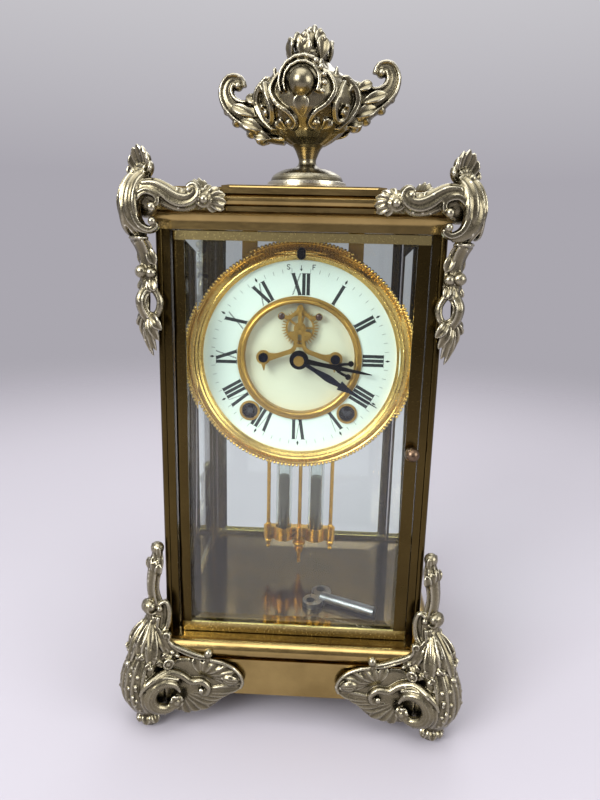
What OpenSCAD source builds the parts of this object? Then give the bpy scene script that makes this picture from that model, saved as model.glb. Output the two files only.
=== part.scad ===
// Crystal regulator clock: a four-glass brass case with cast scroll mounts, an urn on top, an enamel dial
// with open escapement, a two-train movement and a two-vial mercury pendulum.
// Millimetres. Z is up, the dial faces -Y, and the origin is on the table under the middle of the case.

/* [Case] */
// Width over the corner posts
case_w = 140; // [130:1:160]
// Depth over the corner posts
case_d = 128; // [120:1:150]
// Height of the corner posts
case_h = 217; // [205:1:240]
// Width of a corner post
post_w = 7.3; // [6.5:0.1:9]
// Depth of a corner post
post_d = 8; // [7:0.1:10]
// Radius of the bead on a post's outer corner
post_bead = 2; // [1.5:0.1:2.5]
// Thickness of the side panes
side_glass_t = 3; // [2:0.1:3.4]
// Thickness of the floor plate
floor_t = 1.5; // [1:0.1:3]

/* [Base and cornice] */
// Height of the plinth's underside above the table
foot_h = 21; // [18:0.5:26]
// Height of the plinth
base_h = 31.5; // [28:0.5:40]
// How far the plinth's fascia stands out past the posts
base_out = 9; // [7:0.5:12]
// Height of the plinth's flat fascia
fascia_h = 20.5; // [14:0.5:22]
// Radius of the plinth's torus moulding
torus_r = 4.4; // [3.5:0.1:4.8]
// Wall thickness of the plinth and the cornice
shell_t = 3; // [2:0.5:5]
// Height of the cornice
cornice_h = 19; // [16:0.5:26]
// How far the cornice stands out past the posts
cornice_out = 8; // [6:0.5:11]
// Radius of the cornice's hollow
cornice_hollow = 6; // [4:0.5:7]
// Width and depth of the cap's plate
cap_w = 88; // [78:1:100]
// Height of the cap's plate
cap_step_h = 3.8; // [3:0.2:6]
// Height of the round dish on the cap
cap_dish_h = 3.2; // [2:0.2:6]

/* [Doors] */
// Thickness of a door frame
door_t = 5; // [4.5:0.1:6]
// Width of a door stile
stile_w = 6.2; // [5.8:0.1:8]
// Width of a door's top rail
rail_top = 4.3; // [4:0.1:7]
// Width of a door's bottom rail
rail_bottom = 5.2; // [4:0.1:8]
// Thickness of a door pane
door_glass_t = 3; // [2:0.1:3]
// Width of the bevel round a pane
bevel_w = 7; // [4:0.5:10]
// Running gap round a door
door_gap = 0.5; // [0.4:0.1:1]
// Radius of a hinge pin
pin_r = 1.2; // [0.8:0.1:1.5]
// Height of the door knobs above the plinth
knob_rise = 109.5; // [80:0.5:140]
// Radius of a door knob
knob_r = 3.7; // [3:0.1:5]

/* [Dial] */
// Height of the dial's centre above the plinth
dial_rise = 152.5; // [145:0.5:165]
// Distance from the posts' front to the dial's face
dial_recess = 21; // [20:0.5:26]
// Outer radius of the bezel
bezel_r = 58.6; // [56:0.1:60]
// Radius of the white dial inside the bezel
dial_r = 51.2; // [48:0.1:53]
// Inner radius of the brass sight ring round the dial's middle
sight_r = 29.2; // [29:0.1:30]
// Depth of the recess in the dial's middle
sight_depth = 3.4; // [3:0.1:4]
// Winding holes, sideways from the dial's centre
winder_x = 26.2; // [24:0.1:28]
// Winding holes, below the dial's centre
winder_z = 29; // [27:0.1:31]
// Length of the hour hand
hour_len = 39; // [30:0.5:42]
// Length of the minute hand
minute_len = 48; // [44:0.5:49]
// Minutes past twelve shown by the hands
shown_minutes = 200; // [0:1:719]

/* [Movement] */
// Thickness of the movement plates
plate_t = 1.8; // [1.4:0.1:2.4]
// Distance between the plates
plate_gap = 28; // [27:0.5:34]
// Escape arbor above the dial's centre
escape_z = 16.2; // [15.8:0.1:16.4]
// Radius over the escape wheel's teeth
escape_r = 9.8; // [8.6:0.1:10]
// Teeth of the escape wheel
escape_teeth = 36; // [30:1:40]
// Radius of the gong's wire
gong_wire_r = 1.2; // [0.8:0.1:1.5]
// Radius of the gong's outer turn
gong_r = 38; // [32:0.5:40]
// Turns of the gong
gong_turns = 3; // [2:1:3]
// Distance from turn to turn of the gong
gong_pitch = 7; // [4:0.5:9]

/* [Pendulum] */
// Distance of the pendulum behind the case's middle
pendulum_y = 12; // [11:0.5:13]
// Radius of a mercury vial
vial_r = 5.1; // [4:0.1:5.4]
// Vials, sideways from the rod
vial_x = 10.4; // [9:0.1:11.5]
// Length of a vial
vial_len = 70; // [60:1:72]
// Height of the mercury in a vial
mercury_len = 40; // [20:1:50]
// Height of the vials' lower end above the plinth
vial_rise = 25; // [23:0.5:27]
// Side rods, sideways from the middle
side_rod_x = 20.4; // [18.5:0.1:23]

/* [Urn] */
// Radius of the urn's foot
urn_foot_r = 22; // [19:0.5:24]
// Height of the urn's turned foot
urn_foot_h = 23.2; // [20:0.2:28]
// Largest radius of the urn's bowl
urn_bowl_r = 27; // [24:0.5:30]
// Height of the urn's bowl
urn_bowl_h = 40; // [34:0.5:46]
// Height of the flame
urn_flame_h = 19; // [14:0.5:26]

/* [Hidden] */
$fn = 48;
// Clearance of a seat, and radial clearance of a running fit
seat = 0.3;
fit = 0.05;
// Added to cutters so that they pass the faces they cut
past = 1;

base_top = foot_h + base_h;
case_top = base_top + case_h;
roof_z = case_top + cornice_h;
base_hw = case_w / 2 + base_out;
base_hd = case_d / 2 + base_out;
floor_z = base_top + floor_t;
bead_line_h = 1.6;
bead_line_out = 1;
door_w = case_w - 2 * post_w - 2 * door_gap;
door_h = case_h - 2 * door_gap;
door_front = -case_d / 2 + door_gap;
door_back = door_front + door_t;
hinge_x = -door_w / 2 + door_t / 2;
hinge_y = door_front + door_t / 2;
sight_w = door_w - 2 * stile_w;
rebate = 1.5;
lip_t = 1.2;
pin_len = 3.5;
knob_x = door_w / 2 - stile_w / 2;
knob_z = base_top + knob_rise;
knob_shank_r = 1.3;
latch_t = 1.6;
latch_y = -case_d / 2 + post_d + seat;
side_glass_x = case_w / 2 - post_w + 1.5;
groove = 2.5;
latch_reach = side_glass_x - seat - knob_x;

dial_z = base_top + dial_rise;
dial_y = -case_d / 2 + dial_recess;
dial_t = 1.4;
disc_y = dial_y + sight_depth;
disc_t = 1.2;
motion_gap = 4.4;
plate_y = disc_y + disc_t + motion_gap;
plate_in = plate_y + plate_t;
back_y = plate_in + plate_gap;
back_out = back_y + plate_t;
arbor_r = 1.1;
slim_r = 0.65;
pivot_r = 0.5;
wheel_t = 1.2;

// Places of the arbors, sideways and up from the dial's centre
CENTER = [0, 0];
ESCAPE = [0, escape_z];
pallet_z = escape_z + escape_r + pivot_r + seat + 0.2;
PALLET = [0, pallet_z];
TIME = [winder_x, -winder_z];
STRIKE = [-winder_x, -winder_z];
REGULATOR = [0, dial_r + 2.2];
HAMMER = [0, -50];

// Wheel work: module and teeth of each pair, as [module, wheel, pinion]
GREAT = [0.55, 72, 9];
SECOND = [0.46, 70, 10];
MIDDLE = [0.3333, 84, 7];
THIRD_PAIR = [0.3, 80, 7];
PIN_PAIR = [0.36, 78, 7];
CANNON = [0.4, 36, 12];
HOUR = [0.384, 40, 10];

function spacing(pair) = pair[0] * (pair[1] + pair[2]) / 2;
// Third corner of a triangle on a and b, at distances ra and rb, to the left of the line from a to b
function corner_of(a, b, ra, rb) = let (
    d = norm(b - a),
    along = (ra * ra - rb * rb + d * d) / (2 * d),
    up = sqrt(ra * ra - along * along),
    e = (b - a) / d
) a + e * along + [-e[1], e[0]] * up;
function polar(r, a) = [r * cos(a), r * sin(a)];
function heading(a, b) = atan2(b[1] - a[1], b[0] - a[0]);

THIRD = corner_of(CENTER, ESCAPE, spacing(MIDDLE), spacing(THIRD_PAIR));
INTER = corner_of(CENTER, TIME, spacing(SECOND), spacing(GREAT));
PINNED = STRIKE + polar(spacing(GREAT), 100);
FLY = PINNED + polar(spacing(PIN_PAIR), 95);
MINUTE = CENTER + polar(spacing(CANNON), 215);

// Levels of the wheels between the plates, behind the front plate and before the back plate
center_level = plate_in + 4;
third_level = plate_in + 12;
drum_front = plate_in + 1.7;
great_level = back_y - 9;
rear_level = back_y - 6;
great_t = 1.6;

// Motion of one sweep: a smooth line through the given points, with n steps between two of them
function between(a, b, c, d, t) =
    0.5 * (2 * b + (c - a) * t + (2 * a - 5 * b + 4 * c - d) * t * t + (3 * b - a - 3 * c + d) * t * t * t);
function smooth(p, n) = let (last = len(p) - 1) [
    for (i = [0:last - 1], k = [0:n - 1])
        between(p[max(i - 1, 0)], p[i], p[i + 1], p[min(i + 2, last)], k / n),
    p[last]
];
function unit(v) = v / max(norm(v), 0.0001);
function course(p, i) = let (a = p[max(i - 1, 0)], b = p[min(i + 1, len(p) - 1)])
    unit([b[0] - a[0], b[1] - a[1]]);

// A flat ribbon round a smooth line; each point is [x, y, half width]
module ribbon(points, n = 5) {
    line = smooth(points, n);
    last = len(line) - 1;
    side = [for (i = [0:last]) let (t = course(line, i)) [-t[1], t[0]] * line[i][2]];
    polygon(concat(
        [for (i = [0:last]) [line[i][0], line[i][1]] + side[i]],
        [for (i = [last:-1:0]) [line[i][0], line[i][1]] - side[i]]
    ));
}

// A swelling cast scroll along a smooth line in the XZ plane; each point is [x, z, half depth, half width]
module scroll(points, n = 4, sides = 8) {
    line = smooth(points, n);
    last = len(line) - 1;
    rings = [
        for (i = [0:last], j = [0:sides - 1])
            let (t = course(line, i), a = 360 * j / sides, q = line[i])
                [q[0] - t[1] * q[2] * cos(a), q[3] * sin(a), q[1] + t[0] * q[2] * cos(a)]
    ];
    skin = [
        for (i = [0:last - 1], j = [0:sides - 1])
            let (a = i * sides + j, b = i * sides + (j + 1) % sides) each [
                [a, b, b + sides],
                [a, b + sides, a + sides]
            ]
    ];
    first_end = [[for (j = [sides - 1:-1:0]) j]];
    last_end = [[for (j = [0:sides - 1]) last * sides + j]];
    polyhedron(rings, concat(skin, first_end, last_end));
}

// A rounded leaf or petal from one place to another
module petal(a, ra, b, rb) {
    hull() {
        translate(a) sphere(r = ra, $fn = 5);
        translate(b) sphere(r = rb, $fn = 5);
    }
}

module bead(at, r) {
    hull() translate(at) sphere(r = r, $fn = 5);
}

// The children, drawn in the XZ plane, as a plate from y0 to y1
module plate_xz(y0, y1) {
    translate([0, y1, 0]) rotate([90, 0, 0]) linear_extrude(height = y1 - y0) children();
}

module rod_y(at, r, y0, y1) {
    translate([at[0], y1, at[1]]) rotate([90, 0, 0]) cylinder(r = r, h = y1 - y0);
}

// The children, drawn with the radius sideways and the way forward up, turned round the line along -Y
module turned_y(at) {
    translate([at[0], at[1], at[2]]) rotate([90, 0, 0]) rotate_extrude() children();
}

// A step section carried round a box with mitred corners: the first child is seen along Y, the second along X
module mitred(reach) {
    intersection() {
        plate_xz(-reach, reach) children(0);
        rotate([0, 0, 90]) plate_xz(-reach, reach) children(1);
    }
}

module band(half, z0, z1) {
    translate([-half, z0]) square([2 * half, z1 - z0]);
}

module block(hw, hd, z0, z1) {
    translate([-hw, -hd, z0]) cube([2 * hw, 2 * hd, z1 - z0]);
}

// The children at one corner of the case, with X pointing out along the diagonal
module at_corner(sx, sy) {
    translate([sx * case_w / 2, sy * case_d / 2, 0]) rotate([0, 0, atan2(sy, sx)]) children();
}

// The children on both faces beside a corner: X runs along the face from the corner, -Y points out of it
module both_faces() {
    for (side = [0, 1]) mirror([0, side, 0]) rotate([0, 0, 135]) children();
}

module at_dial() {
    translate([0, 0, dial_z]) children();
}

// Plinth and cornice

module base_section(half) {
    torus_z = foot_h + fascia_h + bead_line_h + torus_r;
    torus_x = half + 1.5 - torus_r;
    band(half, foot_h, foot_h + fascia_h);
    band(half + bead_line_out, foot_h + fascia_h, foot_h + fascia_h + bead_line_h);
    band(torus_x, foot_h + fascia_h, torus_z + torus_r);
    for (s = [-1, 1]) translate([s * torus_x, torus_z]) circle(r = torus_r);
    band(torus_x - 1, torus_z, base_top);
}

module base_plinth() {
    color("goldenrod") difference() {
        mitred(case_w + case_d) {
            base_section(base_hw);
            base_section(base_hd);
        }
        block(base_hw - shell_t - torus_r, base_hd - shell_t - torus_r, foot_h - past, base_top - shell_t);
        both_doors() hinge_pin(base_top - pin_len, past + pin_len, fit);
    }
}

module floor_plate() {
    half_w = case_w / 2 - post_w - seat;
    half_d = case_d / 2 - door_t - door_gap - 1;
    color("peru") block(half_w, half_d, base_top, floor_z);
}

module cornice_section(half) {
    neck = half - cornice_out;
    hollow_z = case_top + 3 + cornice_hollow;
    band(neck + 1, case_top, case_top + 3);
    difference() {
        band(neck + cornice_hollow, case_top + 3, hollow_z);
        for (s = [-1, 1]) translate([s * (neck + cornice_hollow), case_top + 3])
            circle(r = cornice_hollow - 0.5);
    }
    band(half - 1.6, hollow_z, hollow_z + 1.6);
    band(half - 4, hollow_z, roof_z);
    for (s = [-1, 1]) translate([s * (half - 4), hollow_z + 1.6 + 3]) circle(r = 3);
    band(half, hollow_z + 7.2, roof_z - 1);
    band(half - 1, hollow_z + 7.2, roof_z);
}

module cornice() {
    color("darkgoldenrod") difference() {
        mitred(case_w + case_d) {
            cornice_section(case_w / 2 + cornice_out);
            cornice_section(case_d / 2 + cornice_out);
        }
        block(case_w / 2 - post_w, case_d / 2 - post_d, case_top - past, roof_z - shell_t);
        both_doors() hinge_pin(case_top - past, past + pin_len, fit);
    }
}

module cap_section(half) {
    difference() {
        band(half, roof_z, roof_z + cap_step_h);
        for (s = [-1, 1]) translate([s * half, roof_z + cap_step_h]) circle(r = cap_step_h / 2);
    }
}

module top_cap() {
    dish_r = cap_w * 0.41;
    cut = cap_w * 0.64;
    color("darkgoldenrod") {
        intersection() {
            mitred(case_w) {
                cap_section(cap_w / 2);
                cap_section(cap_w / 2);
            }
            rotate([0, 0, 45]) block(cut, cut, roof_z, cap_top);
        }
        translate([0, 0, roof_z + cap_step_h / 2]) rotate_extrude() polygon([
            [0, 0], [dish_r, 0], [dish_r, cap_step_h / 2 + 0.8], [dish_r - 4, cap_step_h / 2 + 1.4],
            [urn_foot_r + 2, cap_step_h / 2 + cap_dish_h], [0, cap_step_h / 2 + cap_dish_h]
        ]);
    }
}

cap_top = roof_z + cap_step_h + cap_dish_h;

// Corner posts and panes

module post_section() {
    notch = 1.8 * post_bead;
    difference() {
        translate([-post_w, -post_d]) square([post_w, post_d]);
        translate([-notch, -notch]) square(notch + past);
        translate([side_glass_x - case_w / 2 - fit, -post_d - past])
            square([side_glass_t + 2 * fit, groove + past]);
    }
    translate([-post_bead, -post_bead]) circle(r = post_bead);
}

module corner_posts() {
    color("saddlebrown") for (sx = [0, 1], sy = [0, 1]) mirror([sx, 0, 0]) mirror([0, sy, 0])
        translate([case_w / 2, case_d / 2, base_top]) linear_extrude(height = case_h) post_section();
}

// A pane with a bevelled outer face: width, height, thickness; the outer face lies on Y = 0
module bevelled_pane(w, h, t) {
    edge = t / 2;
    intersection() {
        linear_extrude(height = h) polygon([
            [-w / 2, t], [w / 2, t], [w / 2, edge], [w / 2 - bevel_w, 0], [bevel_w - w / 2, 0], [-w / 2, edge]
        ]);
        translate([-w / 2 - past, 0, 0]) rotate([90, 0, 90]) linear_extrude(height = w + 2 * past) polygon([
            [t, 0], [t, h], [edge, h], [0, h - bevel_w], [0, bevel_w], [edge, 0]
        ]);
    }
}

module side_glass(side) {
    pane_w = case_d - 2 * post_d + 2 * (groove - fit);
    color("lightcyan", 0.4) mirror([side, 0, 0]) translate([side_glass_x + side_glass_t, 0, base_top])
        rotate([0, 0, 90]) bevelled_pane(pane_w, case_h, side_glass_t);
}

module side_glass_left() {
    side_glass(1);
}

module side_glass_right() {
    side_glass(0);
}

// Doors: the front door is drawn, and the back door is the same turned half round

module both_doors() {
    for (turn = [0, 180]) rotate([0, 0, turn]) children();
}

module hinge_pin(z, len, extra) {
    translate([hinge_x, hinge_y, z]) cylinder(r = pin_r + extra, h = len);
}

module door_pins() {
    color("dimgray") both_doors() {
        hinge_pin(base_top - pin_len, 2 * pin_len, 0);
        hinge_pin(case_top - pin_len, 2 * pin_len, 0);
    }
}

module door_frame() {
    sight_h = door_h - rail_top - rail_bottom;
    z0 = base_top + door_gap;
    difference() {
        union() {
            translate([hinge_x, door_front, z0]) cube([door_w - door_t / 2, door_t, door_h]);
            translate([hinge_x, hinge_y, z0]) cylinder(r = door_t / 2, h = door_h);
        }
        translate([-sight_w / 2, door_front - past, z0 + rail_bottom])
            cube([sight_w, door_t + 2 * past, sight_h]);
        translate([-sight_w / 2 - rebate, door_front + lip_t, z0 + rail_bottom - rebate])
            cube([sight_w + 2 * rebate, door_t, sight_h + 2 * rebate]);
        hinge_pin(z0 - past, past + pin_len, fit);
        hinge_pin(z0 + door_h - pin_len, past + pin_len, fit);
        rod_y([knob_x, knob_z], knob_shank_r + fit, door_front - past, door_back + past);
    }
}

module door_glass() {
    pane_w = sight_w + 2 * rebate - 2 * fit;
    pane_h = door_h - rail_top - rail_bottom + 2 * rebate - 2 * fit;
    translate([0, door_front + lip_t, base_top + door_gap + rail_bottom - rebate + fit])
        bevelled_pane(pane_w, pane_h, door_glass_t);
}

module door_knob() {
    turned_y([knob_x, door_front - seat, knob_z]) {
        square([knob_shank_r + 1, 1.2]);
        square([knob_shank_r, 3]);
        intersection() {
            translate([0, 1.8 + knob_r * 0.8]) circle(r = knob_r);
            translate([0, 1.8]) square([knob_r, 2 * knob_r]);
        }
    }
    rod_y([knob_x, knob_z], knob_shank_r, door_front - seat - past, latch_y + latch_t);
    plate_xz(latch_y, latch_y + latch_t) translate([knob_x, knob_z]) {
        translate([-1.5, 0]) square([3, latch_reach]);
        circle(r = 2.2);
    }
}

module front_door_frame() {
    color("sienna") door_frame();
}

module front_door_glass() {
    color("lightcyan", 0.4) door_glass();
}

module front_door_knob() {
    color("saddlebrown") door_knob();
}

module back_door_frame() {
    color("sienna") rotate([0, 0, 180]) door_frame();
}

module back_door_glass() {
    color("lightcyan", 0.4) rotate([0, 0, 180]) door_glass();
}

module back_door_knob() {
    color("saddlebrown") rotate([0, 0, 180]) door_knob();
}

// Feet: a swelling scroll on the diagonal with an eye and a leaf wing on each face

// Heights and reaches in the lists below were chosen on a plinth whose top lies at drawn_base_top and whose
// fascia stands out by drawn_base_out: foot_z and foot_out carry them to the plinth that is built
drawn_base_top = 52.5;
drawn_base_out = 9;
function foot_z(z) = z < drawn_base_top ? z * base_top / drawn_base_top : z + base_top - drawn_base_top;
function foot_out(x, z) = x + (z < drawn_base_top ? (base_out - drawn_base_out) * sqrt(2) : 0);
function foot_line(line) = [for (q = line) [foot_out(q[0], q[1]), foot_z(q[1]), q[2], q[3]]];
function wing_line(line) = [for (q = line) [q[0], foot_z(q[1]), q[2], q[3]]];

// Places up the diagonal scroll of a foot, from the toe to the tip: [out, z, half depth, half width]
FOOT_LINE = [
    [11.5, 5, 3, 4], [12.4, 11, 5, 6], [16, 21, 7.5, 8.8], [17, 31, 8.2, 9.2], [14, 42, 7, 8],
    [9.6, 53, 5.6, 6.6], [5.8, 62, 4.4, 5.6], [5, 72, 3.6, 5], [7.4, 84, 2.4, 3.6], [4.6, 96, 3, 4.6], [2.6, 107, 1.4, 1.6]
];
// Places along a wing, from the eye to the end: [along the face, z, half height, half thickness]
WING_LINE = [
    [-6, 24, 9, 3], [6, 27, 15.5, 4.2], [18, 29, 17.5, 3.8], [29, 30.5, 14, 3.2], [38, 31.5, 9.5, 2.6],
    [43.5, 31.5, 5, 2], [45, 31.5, 1, 1]
];
// Places along the wave over the eye, to its curl: [along the face, z, half height, half thickness]
WAVE_LINE = [
    [-9, 31, 2, 4], [1, 34, 2.4, 3.4], [10, 33, 2.6, 3], [17, 29.6, 2.4, 2.8], [23, 29.4, 2.4, 2.6],
    [25.6, 25, 2.2, 2.4], [21.6, 22.6, 2, 2.2]
];
eye_x = -1.5;
eye_z = 20;
eye_r = 9.8;
eye_hole_r = 4.8;
// The eyes turn towards the diagonal, as the scroll under them does
eye_turn = 23;
toe_h = 5;
toe_r = 5.4;
toe_out = foot_out(12, 0);

module foot_casting() {
    wing_out = base_out + 2.4;
    difference() {
        union() {
            scroll(foot_line(FOOT_LINE), 2, 8);
            both_faces() {
                translate([0, -wing_out, 0]) scroll(wing_line(WING_LINE), 2, 6);
                translate([eye_x, -base_out - 3.6, foot_z(eye_z)]) rotate([0, 0, -eye_turn]) rotate([90, 0, 0])
                    difference() {
                        cylinder(r1 = eye_r + 1.4, r2 = eye_r, h = 6, $fn = 14);
                        translate([0.8, 1, 2])
                            cylinder(r1 = eye_hole_r - 1, r2 = eye_hole_r + 2, h = 5, $fn = 10);
                    }
                translate([0, -base_out - 3, 0]) scroll(wing_line(WAVE_LINE), 2, 6);
                bead([25.7, -wing_out, foot_z(46)], 2.6);
                bead([3.7, -base_out - 3, foot_z(41.4)], 2.8);
                petal([16, -base_out - 3, foot_z(44)], 2.4, [4, -base_out - 1, foot_z(51)], 2.6);
            }
            bead([10, 0, foot_z(72.5)], 4);
            petal([3.5, 0, foot_z(94)], 4.4, [4, 0, foot_z(104)], 2.2);
        }
        rotate([0, 0, -45]) foot_seat();
    }
}

// What a foot must leave free: the table, the toe, the plinth and the post, seen from a corner turned square
module foot_seat() {
    far = 200;
    inner = [-far, -far];
    cut = base_out + seat;
    translate([inner[0], inner[1], foot_h - past - seat]) cube([far + cut, far + cut, fascia_h + past]);
    torus_cut = cut + 1.5;
    translate([inner[0], inner[1], foot_h + fascia_h - seat - past])
        cube([far + torus_cut, far + torus_cut, base_h - fascia_h + past + 2 * seat]);
    translate([inner[0], inner[1], base_top]) cube([far + seat, far + seat, case_h]);
    translate([inner[0], inner[1], -far]) cube([2 * far, 2 * far, far + toe_h + seat]);
}

module foot_front_left() {
    color("tan") at_corner(-1, -1) foot_casting();
}

module foot_front_right() {
    color("tan") at_corner(1, -1) foot_casting();
}

module foot_rear_left() {
    color("tan") at_corner(-1, 1) foot_casting();
}

module foot_rear_right() {
    color("tan") at_corner(1, 1) foot_casting();
}

module toes() {
    color("tan") for (sx = [-1, 1], sy = [-1, 1])
        at_corner(sx, sy) translate([toe_out, 0, 0]) rotate_extrude() {
        square([toe_r - 1.5, toe_h]);
        intersection() {
            translate([toe_r - 2.4, 2.4]) circle(r = 2.4);
            square([toe_r, toe_h]);
        }
    }
}

// Corner mounts of the cornice: a ridged scroll on the diagonal, a shell, an arm on each face and a drop

// Heights in the lists below were chosen on a cornice from drawn_case_top to drawn_roof_z, with the reach
// drawn_cornice_out: mount_z and mount_out carry them to the cornice that is built
drawn_case_top = 269.5;
drawn_roof_z = 288.5;
drawn_cornice_out = 8;
cornice_stretch = cornice_h / (drawn_roof_z - drawn_case_top);
function mount_z(z) = z < drawn_case_top ? z + case_top - drawn_case_top
    : z < drawn_roof_z ? case_top + (z - drawn_case_top) * cornice_stretch
    : z + roof_z - drawn_roof_z;
function mount_out(x, z) = x + (z < drawn_case_top ? 0 : (cornice_out - drawn_cornice_out) * sqrt(2));
function mount_line(line) = [for (q = line) [mount_out(q[0], q[1]), mount_z(q[1]), q[2], q[3]]];
function arm_line(line) = [for (q = line) [q[0], mount_z(q[1]), q[2], q[3]]];

// Places round the diagonal scroll and down the drop: [out, z, half depth, half width]
MOUNT_LINE = [
    [2.5, 290, 2, 5], [7, 292.5, 3, 6.4], [12, 288, 3.6, 7.4], [13.6, 280.5, 3.6, 7.6], [11.5, 272.5, 3.2, 7],
    [7.2, 267.8, 2.8, 6], [8.4, 263.6, 2.4, 5.4], [4.6, 257, 3, 4.8], [3.8, 249, 3.4, 5.4], [4, 243.5, 3, 6],
    [6.6, 236, 2.2, 4.2], [4.8, 226, 3, 5.8], [3.4, 217, 2.6, 5], [1.9, 208, 1.5, 2]
];
// Places round the C on a face, from its upper to its lower curl:
// [along the face, z, half height, half thickness]
C_LINE = [
    [3.2, 278.2, 2.4, 2.8], [5.4, 281, 1.9, 2.6], [2.4, 284.2, 2.6, 3], [-4.2, 282.8, 3.6, 3.2],
    [-7.4, 276.6, 4, 3.6], [-5.4, 270.4, 3.2, 3], [0.4, 267.9, 2.2, 2.6], [4.2, 270, 1.8, 2.2],
    [3, 272.2, 2.2, 2.4]
];
// Places out along the arm of a face: [along the face, z, half height, half thickness]
ARM_LINE = [
    [-3, 285.4, 2.6, 3], [4, 285.6, 3.8, 3.4], [10, 283.4, 4.4, 3.2], [16, 282.8, 4.8, 3], [21, 283.6, 4.8, 3],
    [26.4, 283, 5.6, 3], [32, 282.4, 4.4, 2.4], [36, 282, 1.4, 1.2]
];

module mount_casting() {
    arm_out = cornice_out + 3;
    difference() {
        union() {
            scroll(mount_line(MOUNT_LINE), 2, 8);
            both_faces() {
                translate([0, -arm_out, 0]) scroll(arm_line(C_LINE), 2, 6);
                translate([0, -arm_out, 0]) scroll(arm_line(ARM_LINE), 2, 6);
                bead([26.4, -arm_out - 2, mount_z(282.6)], 3);
            }
            for (i = [-2:2]) petal([mount_out(4, 292), i * 1.2, mount_z(292)], 2.6,
                [mount_out(5, 304) - abs(i) * 0.4, i * 4, mount_z(304) - abs(i) * 2.2], 2.6);
            bead([mount_out(9.2, 294), 0, mount_z(294)], 2.2);
            bead([5.6, 0, mount_z(249)], 3.6);
            for (i = [-1:1]) petal([3, i, mount_z(226)], 2.2,
                [2.6, i * 4.4, mount_z(214) - 3 * (1 - abs(i))], 1.8);
        }
        rotate([0, 0, -45]) mount_seat();
    }
}

// What a corner mount must leave free: the cornice's steps and the post, seen from a corner turned square
module mount_seat() {
    far = 200;
    hollow_z = case_top + 3 + cornice_hollow;
    for (step = [
        [seat, base_top, case_h - seat],
        [1 + seat, case_top - seat, 3 + 2 * seat],
        [cornice_hollow + seat, case_top + 3, cornice_hollow + seat],
        [cornice_out + seat, hollow_z - seat, roof_z - hollow_z + 2 * seat]
    ]) translate([-far, -far, step[1]]) cube([far + step[0], far + step[0], step[2]]);
}

module corner_mount_front_left() {
    color("tan") at_corner(-1, -1) mount_casting();
}

module corner_mount_front_right() {
    color("tan") at_corner(1, -1) mount_casting();
}

module corner_mount_rear_left() {
    color("tan") at_corner(-1, 1) mount_casting();
}

module corner_mount_rear_right() {
    color("tan") at_corner(1, 1) mount_casting();
}

// Urn

bowl_z = cap_top + urn_foot_h;
flame_z = bowl_z + urn_bowl_h;
urn_neck_r = 10.5;
flame_seat_r = 11;

// Outline of the turned foot from its rim to the bowl's seat: [radius, share of the foot's height]
stem_r = 4.8;
URN_FOOT_LINE = [
    [urn_foot_r - 1.6, 0.11], [urn_foot_r - 3, 0.24], [urn_foot_r - 8, 0.36], [stem_r + 5, 0.4],
    [stem_r + 1, 0.47], [stem_r, 0.58], [stem_r + 0.8, 0.7], [urn_neck_r - 3, 0.87], [urn_neck_r, 1]
];

module urn_foot() {
    rim_h = 1.8;
    line = [for (q = smooth(URN_FOOT_LINE, 3)) [q[0], q[1] * urn_foot_h]];
    color("tan") translate([0, 0, cap_top]) rotate_extrude()
        polygon(concat([[0, 0], [urn_foot_r, 0], [urn_foot_r, rim_h]], line, [[0, urn_foot_h]]));
}

// Outline of the bowl from its seat on the foot to its mouth: [radius, height]
BOWL_LINE = [
    [urn_neck_r, 0], [urn_bowl_r * 0.56, 4], [urn_bowl_r * 0.78, 10], [urn_bowl_r * 0.94, 16],
    [urn_bowl_r, 22.5], [urn_bowl_r * 0.96, 27], [urn_bowl_r * 0.78, 32.4], [flame_seat_r + 2.4, urn_bowl_h - 3],
    [flame_seat_r, urn_bowl_h]
];
// Places along a handle from the bowl to the curl's eye: [out, up, half depth, half width]
HANDLE_LINE = [
    [18, 9, 6.4, 7], [28, 12, 5.8, 6.2], [37, 15.4, 4.8, 5.2], [44.4, 20.6, 4, 4.4], [47, 28, 3.3, 3.8],
    [44, 34.4, 2.7, 3.2], [39.4, 35, 2.3, 2.8], [37.2, 31.4, 2.1, 2.6], [39.4, 28.8, 2, 2.4]
];
handle_lift = 3.6;

module urn_bowl() {
    line = smooth(BOWL_LINE, 2);
    color("tan") translate([0, 0, bowl_z]) {
        difference() {
            union() {
                rotate_extrude($fn = 20) polygon(concat([[0, 0]], line, [[0, urn_bowl_h]]));
                for (side = [-1, 1]) translate([0, 0, side * handle_lift])
                    mirror([side < 0 ? 1 : 0, 0, 0]) scroll(HANDLE_LINE, 2, 8);
                for (side = [-1, 1]) translate([0, side * (urn_bowl_r - 1), 27]) {
                    bead([0, 0, 0], 7);
                    for (a = [30:120:330]) petal(
                        [8 * cos(a), 0, 8 * sin(a)], 2.6, [10 * cos(a + 40), 0, 10 * sin(a + 40)], 2);
                }
            }
            translate([0, 0, -past * 20]) cylinder(r = 2 * case_w, h = past * 20);
        }
    }
}

module urn_flame() {
    color("tan") translate([0, 0, flame_z]) intersection() {
        union() {
            cylinder(r1 = flame_seat_r, r2 = flame_seat_r - 3, h = 4, $fn = 24);
            for (a = [0:60:300]) rotate([0, 0, a])
                petal([6.5, 0, 3], 3.6, [7.5, 0, urn_flame_h * 0.55], 2.6);
            for (a = [30:90:300]) rotate([0, 0, a])
                petal([3, 0, 4], 4, [2.2, 0, urn_flame_h - 2.4], 2.2);
        }
        cylinder(r = case_w, h = urn_flame_h);
    }
}

// Dial and bezel

module dial_feet() {
    for (at = [[42, 0], [-42, 0], [0, -44]]) rod_y(at, 1.5, dial_y + dial_t - seat, plate_y);
}

module winder_holes(r) {
    for (at = [TIME, STRIKE]) translate(at) circle(r = r);
}

grommet_r = 4.9;
grommet_wall = 0.6;
regulator_r = 2;

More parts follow.
